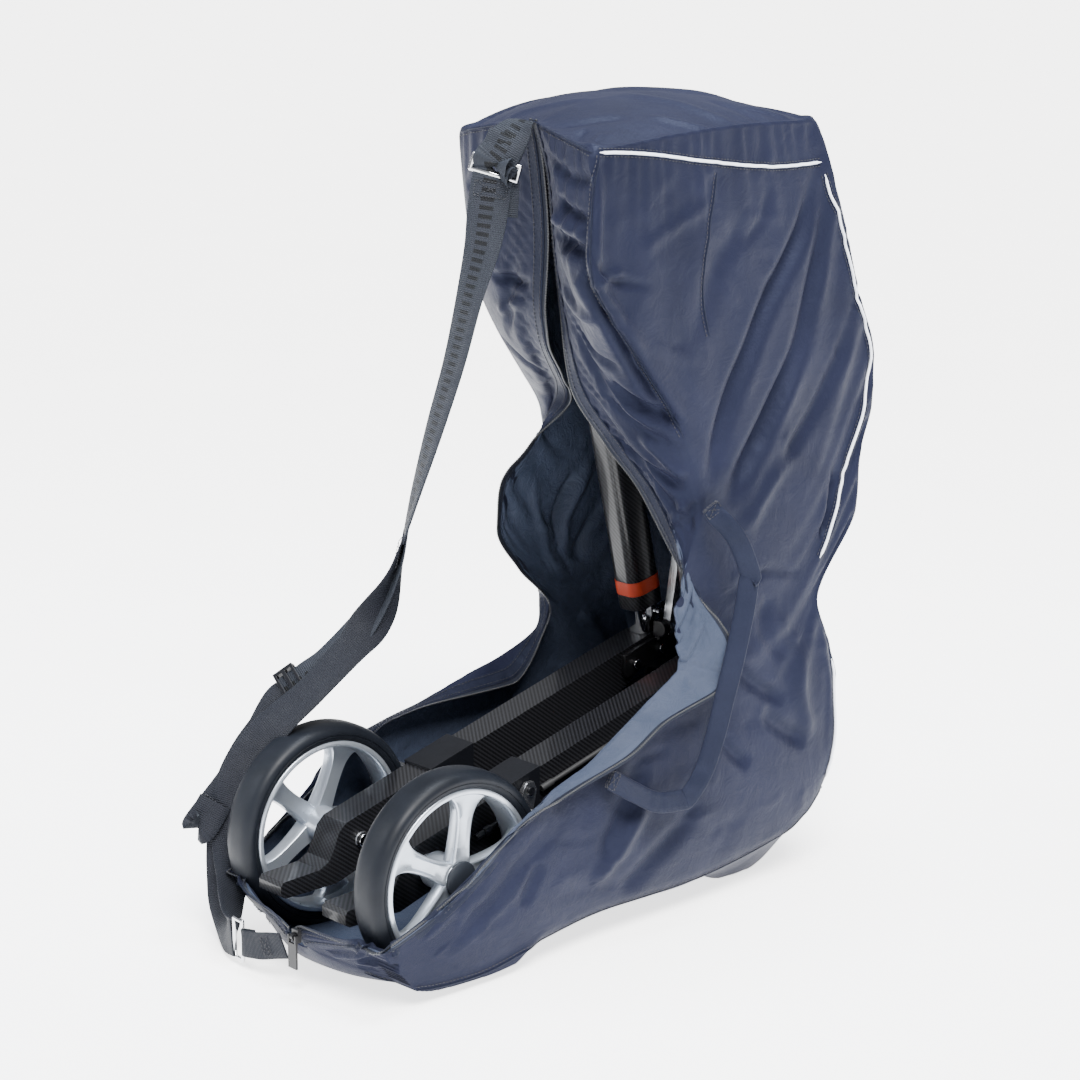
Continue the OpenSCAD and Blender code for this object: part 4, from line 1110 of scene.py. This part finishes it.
SEAMS = [
    [(0.66, 1.5), (1.2, 1.47), (2, 1.42), (2.7, 1.37), (3.4, 1.31)],
    [(0.02, 0.1), (0.02, 0.5), (0.03, 0.97)],
    [(0.04, 5.04), (0.03, 5.5), (0.02, 5.85)],
    [(0.1, 1.03), (1, 1.005), (2, 1.005), (3, 1.0), (4, 1.0), (5.2, 1.0)],
    [(12.2, 2.0), (14, 2.0), (16, 2.0), (18, 2.0), (20.4, 2.0)],
    [(12.2, 4.0), (14, 4.0), (16, 4.0), (18, 4.0), (20.4, 4.0)],
]
ridges = []
for run in SEAMS:
    path, face = on_cloth(run, 0.2)
    ridges.append(tube(path, 0.9 * taper(len(path), 3, 0.2), 8))
    flanges.append(stitches(beside(path, face, 3.4), face, 4.2, 2.8, 0.38))
piece_of("seam_ridges", ridges, NYLON_BASE, "nylon")


def edge_of_flap(step):
    """The free edge as a line, with the way it faces and the way out past it."""
    hem, most, rounds = 13, 70, 14
    grid, normals = cloth_grid[:, ::step], cloth_normals[:, ::step]
    inward = np.cumsum(np.linalg.norm(np.diff(grid[:, :most], axis=1), axis=2), 1)
    rows, columns = np.arange(len(grid)), np.minimum((inward < hem).sum(1) + 1, most - 1)
    run = lengths(grid[:, 0])
    spots = np.linspace(0, run[-1], int(run[-1] / 3) + 1)
    kept = (grid[:, 0], grid[rows, columns], normals[rows, columns // 2])
    line, back, face = [between(spots, run, values) for values in kept]
    for _ in range(rounds):
        for v in (back, face):
            v[1:-1] = (v[:-2] + v[1:-1] + v[2:]) / 3
    return line, unit(face), unit(line - back)


def sewn_strip(line, face, out, near, far, thickness, lift):
    """A strip that lies from near to far past the edge."""
    middle = line + out * (near + far) / 2 + face * lift
    return band(middle, out, abs(far - near), thickness)


COIL_STEP, COIL_PITCH = 0.62, 2.5
tapes, coils, hems = [], [], []
for step in (1, -1):
    line, face, out = edge_of_flap(step)
    tapes.append(sewn_strip(line, face, out, -2, 6, 0.9, -0.4))
    hems.append(sewn_strip(line, face, out, -13, 0.8, 1.0, 0.55))
    for offset in (-1.6, -11.4):
        flanges.append(stitches(line + out * offset + face * 1.1, face, 4.2, 2.8, 0.36))
    teeth = resampled(line + out * 5.6 - face * 0.4, COIL_STEP)
    turns = np.arange(len(teeth)) * COIL_STEP / COIL_PITCH
    coils.append(tube(teeth, 1.05 + 0.35 * np.sin(2 * math.pi * turns), 7))
piece_of("zip_tape", tapes, TAPE, "zip", replaced=["zip_tapes"])
piece_of("zip_coil", coils, COIL, "zip")
piece_of("flap_hems", hems, NYLON_BASE, "nylon")
piece_of("topstitching", flanges, THREAD, "nylon")


# ---------------------------------------------------------------- straps and handles

def strap_line(run, steps=14):
    """Smooth line and width direction through (point, width direction) pairs."""
    line = through([p for p, _ in run], steps)
    across = through([w for _, w in run], steps)
    return line, unit(across)


def box_stitch(centre, along, across, face, length, width):
    """Stitched rectangle with a cross in it."""
    centre, along, across, face = [np.asarray(v, float) for v in (centre, along, across, face)]
    a = centre + along * length / 2
    b = centre - along * length / 2
    w = across * width / 2
    sides = [(a - w, a + w), (a + w, b + w), (b + w, b - w), (b - w, a - w), (a - w, b + w), (a + w, b - w)]
    faces = np.tile(face, (6, 1))
    return join_parts([stitches(np.linspace(p, q, 6), faces, 3.2, 2.2, 0.4) for p, q in sides])


def cross_stitches(line, across, spot, length, width, thickness):
    """Box stitches on both faces of a strap, centred at a share of its run."""
    i = int(spot * (len(line) - 1))
    along = unit(line[min(i + 1, len(line) - 1)] - line[i - 1])
    face = unit(np.cross(along, across[i]))
    side = np.cross(face, along)
    proud = thickness / 2 + 0.1
    return [box_stitch(line[i] + face * s * proud, along, side, face * s, length, width) for s in (1, -1)]


STRAP_WIDTH, STRAP_THICK = 38, 1.8
loops, sewn = [], []
# tab from the crown's front seam, round the top ring and back up behind itself
tab = [((3, -14, 765), (0.98, -0.14, 0.12)), ((1, -20, 760), (0.95, 0.2, 0.02)),
       ((-2, -29, 749), (0.85, 0.5, -0.12)), ((-5, -39, 735), (0.68, 0.7, -0.24)),
       ((-7.5, -44, 728.5), (0.66, 0.7, -0.27)), ((-7.5, -41, 725), (0.66, 0.7, -0.27)),
       ((-5.5, -37, 734), (0.68, 0.7, -0.24)), ((-2, -29, 752), (0.7, 0.7, -0.2))]
line, across = strap_line(tab, 8)
loops.append(band(line, across, STRAP_WIDTH, STRAP_THICK))
# round the ring's lower bar, then down in one long curve that turns edge-on
upper = [((-9, -38, 678), (0.67, 0.7, -0.25)), ((-8, -37, 700), (0.66, 0.7, -0.27)),
         ((-8, -37, 713), (0.66, 0.7, -0.27)), ((-8, -40, 718.5), (0.66, 0.7, -0.27)),
         ((-9, -44, 711), (0.66, 0.7, -0.27)), ((-10.5, -48, 684), (0.72, 0.66, -0.2)),
         ((-13, -53, 650), (0.93, 0.3, -0.2)), ((-17, -65, 605), (1, -0.05, -0.15)),
         ((-22, -80, 545), (1, -0.2, -0.1)), ((-30, -97, 485), (0.97, -0.3, -0.05)),
         ((-39, -113, 425), (0.88, -0.48, 0)), ((-46, -124, 378), (0.77, -0.62, 0.1))]
line, across = strap_line(upper)
loops.append(band(line, across, STRAP_WIDTH, STRAP_THICK))
sewn += cross_stitches(line, across, 0.4, 14, 30, STRAP_THICK)
# rear layer on to the glide
rear = [((-44, -119, 392), (0.77, -0.62, 0.1)), ((-52, -124, 356), (0.8, -0.55, -0.1)),
        ((-67, -136, 318), (0.8, -0.4, -0.4)), ((-84, -157, 281), (0.78, -0.15, -0.55)),
        ((-99, -174.5, 254.5), (0.74, 0, -0.67)), ((-109.5, -186.7, 242.7), (0.74, 0, -0.67)),
        ((-120, -199, 231), (0.74, 0, -0.67)), ((-125, -205, 225.3), (0.74, 0, -0.67))]
line, across = strap_line(rear)
loops.append(band(line, across, STRAP_WIDTH, STRAP_THICK))
piece_of("shoulder_strap_upper", loops, WEBBING, "webbing", replaced=["strap_upper", "strap_tab_top"])

lower = [((-45, -124, 384), (0.77, -0.62, 0.1)), ((-52, -131, 346), (0.5, -0.78, 0.36)),
         ((-61, -144, 309), (-0.2, -0.6, 0.62)), ((-72, -163, 280), (-0.73, -0.02, 0.4)),
         ((-84, -182, 256), (-0.88, 0.11, 0.4)), ((-96, -201, 233), (-0.9, 0.13, 0.38)),
         ((-111, -223, 209), (-0.86, 0, 0.45)), ((-125, -242, 181), (-0.68, -0.3, 0.66)),
         ((-133, -259, 148), (-0.72, -0.4, 0.56)), ((-137, -268, 112), (-0.72, -0.62, 0.3)),
         ((-136, -272, 80), (-0.62, -0.78, 0)), ((-129, -277, 50), (-0.5, -0.8, -0.35)),
         ((-115, -288, 30), (-0.3, -0.5, -0.8)), ((-97, -301, 22), (-0.1, -0.2, -1)),
         ((-80, -310, 24), (0, 0, -1)), ((-71, -313, 26), (0, 0, -1))]
line, across = strap_line(lower)
front = band(line, across, STRAP_WIDTH, STRAP_THICK)
inner = [((-71, -309, 26), (0, 0, -1)), ((-84, -305, 34), (0.3, 0.2, -1)),
         ((-104, -290, 52), (0.5, 0.3, -0.8)), ((-122, -276, 72), (0.6, 0.4, -0.6)),
         ((-134, -270, 100), (0.65, 0.5, -0.4)), ((-140, -262, 140), (0.7, 0.45, -0.5)),
         ((-139, -244, 172), (0.7, 0.3, -0.6)), ((-131, -222, 202), (0.74, 0.15, -0.66)),
         ((-123, -204, 228), (0.74, 0, -0.67))]
inner_line, inner_across = strap_line(inner)
back = band(inner_line, inner_across, STRAP_WIDTH * 0.86, STRAP_THICK)
tail = [((-122.6, -202, 228), (0.74, 0, -0.67)), ((-132, -213.5, 216.5), (0.74, 0.02, -0.67)),
        ((-139, -235, 174), (0.62, 0.4, -0.66)), ((-145, -258, 144), (0.6, 0.42, -0.68)),
        ((-149, -290, 112), (0.6, 0.42, -0.68)), ((-148, -293, 108), (0.6, 0.42, -0.68)),
        ((-146.5, -288, 114), (0.6, 0.42, -0.68)), ((-145.5, -276, 130), (0.6, 0.42, -0.68))]
tail_line, tail_across = strap_line(tail)
end = band(tail_line, tail_across, STRAP_WIDTH * 0.86, STRAP_THICK)
piece_of("shoulder_strap_lower", [front, back, end], WEBBING_PLAIN, "webbing", replaced=["strap_lower"])
sewn += cross_stitches(line, across, 0.03, 26, 28, STRAP_THICK)
sewn += cross_stitches(tail_line, tail_across, 0.5, 5, 26, STRAP_THICK)

toe_tab = [((-40, -309.6, 27), (0, 0.1, 1)), ((-49, -310, 26), (0, 0, 1)),
           ((-53.5, -312.5, 26), (0, 0, 1)), ((-50, -315, 26), (0, 0, 1)), ((-30, -313, 29), (0, 0, 1)),
           ((-12, -311, 34), (0, -0.1, 1)), ((4, -309, 38), (0, -0.2, 1))]
line, across = strap_line(toe_tab, 10)
piece_of("toe_strap_tab", [band(line, across, 26, STRAP_THICK)], WEBBING_PLAIN, "webbing",
         replaced=["strap_tab_toe"])
sewn += cross_stitches(line, across, 0.78, 10, 18, STRAP_THICK)

grab = [((135.5, 102, 406), (0.1, 0.8, 0.6)), ((138, 106, 399), (0.3, 0.8, 0.5)),
        ((145, 115, 387), (0.65, 0.65, 0.4)), ((150, 126, 370), (0.7, 0.65, 0.3)),
        ((152, 140, 338), (0.65, 0.75, 0.05)), ((151, 139, 331), (0.6, 0.8, -0.1)),
        ((149, 135, 300), (0.65, 0.75, -0.1)), ((147, 125, 256), (0.65, 0.75, -0.1)),
        ((147, 112, 218), (0.6, 0.8, -0.2)), ((148, 99, 184), (0.55, 0.8, -0.3)),
        ((147, 85, 152), (0.45, 0.8, -0.4)), ((145, 68, 131), (0.35, 0.7, -0.7)),
        ((144, 58, 129), (0.3, 0.3, -0.9)), ((142, 28, 133), (0.25, -0.15, -0.95)),
        ((138, 0, 149), (0.2, -0.5, -0.85)), ((134.5, -18, 161), (0.05, -0.6, -0.8)),
        ((133.5, -24, 165), (0, -0.6, -0.8))]
handles = []
for s in (1, -1):
    back, away = (0, 0) if s > 0 else (38, 5)
    run = [((s * (x + away), y + back, z), (s * a, b, c)) for (x, y, z), (a, b, c) in grab]
    line, across = strap_line(run, 10)
    handles.append(band(line, across, 20, 2.0))
    for spot in (0.03, 0.97):
        sewn += cross_stitches(line, across, spot, 10, 17, 2.0)
piece_of("grab_handle_straps", handles, HANDLE, "handle_webbing", replaced=["grab_handles"])
piece_of("strap_stitching", sewn, THREAD, "webbing")


# ---------------------------------------------------------------- seat sling and backrest band

def sling():
    """The walker's seat fabric, folded up between the closed scissor's two rails."""
    low, start, length = 515, 135, 164
    half = [(24, low - 1), (25.4, low + 1), (24.6, low + 3), (20, low + 16), (14.5, low + 40),
            (10, low + 62), (6, low + 78), (2.5, low + 84)]
    section = half + [(0, low + 85)] + [(-x, z) for x, z in reversed(half)]
    profile = through([(x, 0, z) for x, z in section], 6)
    rows = np.linspace(start, start + length, 56)
    points, uv = [], []
    run = lengths(profile)
    for y in rows:
        t = (y - start) / length
        wave = 1.6 * np.sin(9.5 * t + run / 38) + 0.9 * np.sin(23 * t - run / 17)
        mid = np.sin(math.pi * run / run[-1])
        shift = np.stack([wave * mid, np.full(len(run), y), -3 * math.sin(math.pi * t) * mid**2], 1)
        points.append(profile + shift)
        uv += [(r * MM, y * MM) for r in run]
    columns = len(profile)
    mesh = mesh_of("seat_sling_cloth", np.vstack(points), grid_faces(len(rows), columns), uv)
    piece = place("seat_sling_cloth", mesh, "scissor_a", [SEAT], "seat_fabric", ["seat_sling"])
    thick = piece.modifiers.new("thickness", "SOLIDIFY")
    thick.thickness, thick.offset = 1.4 * MM, 0


def backrest():
    """Padded band round the back of both posts, with three sewn channels."""
    reach, start, bend, level = 45, 138, 232, 633
    half, channels = 26.5, 3
    arc = [(reach * math.cos(a), bend + reach * math.sin(a), level) for a in np.linspace(0, math.pi, 41)]
    straight = np.linspace(start, bend - 3, 28)
    right = [(reach, y, level) for y in straight]
    line = np.array(right + arc + [(-x, y, z) for x, y, z in reversed(right)])
    tangent = unit(np.gradient(line, axis=0))
    face = unit(np.cross(tangent, (0, 0, 1)))
    heights = np.linspace(-half, half, 29)
    puff = 2.6 * np.abs(np.sin(math.pi * (heights + half) / (2 * half) * channels)) ** 0.45 + 0.35
    section = [(h, p) for h, p in zip(heights, puff)] + [(h, -p) for h, p in zip(heights[::-1], puff[::-1])]
    up = np.array((0, 0, 1))
    points = np.vstack([[line[i] + face[i] * p + up * h for h, p in section] for i in range(len(line))])
    run = lengths(line) * MM
    uv = [(h * MM, run[i]) for i in range(len(line)) for h, _ in section]
    faces = closed_tube(len(line), len(section))
    piece = place("backrest_pad", mesh_of("backrest_pad", points, faces, uv), None, [SEAT], "seat_fabric",
                  ["backrest_band"])
    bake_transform(piece)


sling()
backrest()


# ---------------------------------------------------------------- wheels and frame

wheel("left", math.radians(67))
wheel("right", math.radians(8))
POLISHED = {  # each side's parts, with material, rounding in millimetres and its segments
    "post": (CARBON, 0.8, 2), "band": (BAND, 0.25, 1), "brake_sleeve": (SLEEVE, 1.6, 3),
    "fasteners": (CHROME, 0.8, 2), "brace_bracket": (BLACK_METAL, 1.0, 2), "axle": (STEEL, 0.5, 2),
    "castor_fork": (BLACK_METAL, 1.0, 2), "handle": (ALUMINIUM, 0.6, 2), "grip": (RUBBER, 0.6, 2),
    "brake_lever": (BLACK_METAL, 0.7, 2), "brake_shoe": (STEEL, 0.6, 2), "brake_cable": (RUBBER, 0.4, 2)
}
for side in ("left", "right"):
    castor(side)
    polish(f"beam_{side}", CARBON, 3.2, 4, 25)
    for part, (material, edge, segments) in POLISHED.items():
        polish(f"{part}_{side}", material, edge, segments)
polish("brace_a", ALUMINIUM, 0.8)
polish("brace_b", ALUMINIUM, 0.8)
for node in ("strap_ring_top", "strap_ring_toe"):
    polish(node, CHROME, 0)
polish("strap_glide", SLEEVE, 0.8, 3)
polish("zip_slider", BLACK_METAL, 0.4, 2)
polish("zip_pull", BLACK_METAL, 0.5, 2)


# ---------------------------------------------------------------- stage

def area_light(name, spot, target, size, power, colour=(1, 1, 1)):
    light = bpy.data.objects.new(name, bpy.data.lights.new(name, "AREA"))
    light.data.shape = "DISK"
    light.data.size = size
    light.data.energy = power
    light.data.color = colour
    light.location = spot
    light.rotation_mode = "QUATERNION"
    light.rotation_quaternion = (Vector(target) - Vector(spot)).to_track_quat("-Z", "Y")
    bpy.context.scene.collection.objects.link(light)


def make_stage():
    floor = bpy.data.meshes.new("floor")
    reach = 40
    corners = [(-reach, -reach, 0), (reach, -reach, 0), (reach, reach, 0), (-reach, reach, 0)]
    floor.from_pydata(corners, [], [(0, 1, 2, 3)])
    paper = Shader("floor_paper", Roughness=0.8, Specular_IOR_Level=0.1, Emission_Color=(1, 1, 1, 1),
                   Emission_Strength=2.2)
    paper.colour(paper.ramp(paper.noise(3, 2), [(0.3, (0.90, 0.90, 0.91)), (0.7, (0.93, 0.93, 0.935))]))
    floor.materials.append(paper.material)
    ground = bpy.data.objects.new("floor", floor)
    bpy.context.scene.collection.objects.link(ground)
    world = bpy.data.worlds.new("studio")
    bpy.context.scene.world = world
    world.use_nodes = True
    world.node_tree.nodes["Background"].inputs["Color"].default_value = (0.93, 0.95, 1, 1)
    world.node_tree.nodes["Background"].inputs["Strength"].default_value = 0.6
    sun = bpy.data.objects.new("window", bpy.data.lights.new("window", "SUN"))
    sun.data.energy = 10.5
    sun.data.angle = math.radians(30)
    sun.data.color = (1, 0.985, 0.96)
    sun.rotation_mode = "QUATERNION"
    sun.rotation_quaternion = Vector((-1.25, 0.7, -2.4)).to_track_quat("-Z", "Y")
    bpy.context.scene.collection.objects.link(sun)
    area_light("top", (0.1, 0.3, 2.4), (0, 0.12, 0.75), 0.9, 75, (0.84, 0.91, 1))
    area_light("side", (-1.6, -2.2, 1.9), (0, 0, 0.4), 1.0, 45, (0.9, 0.94, 1))


make_camera()
make_stage()
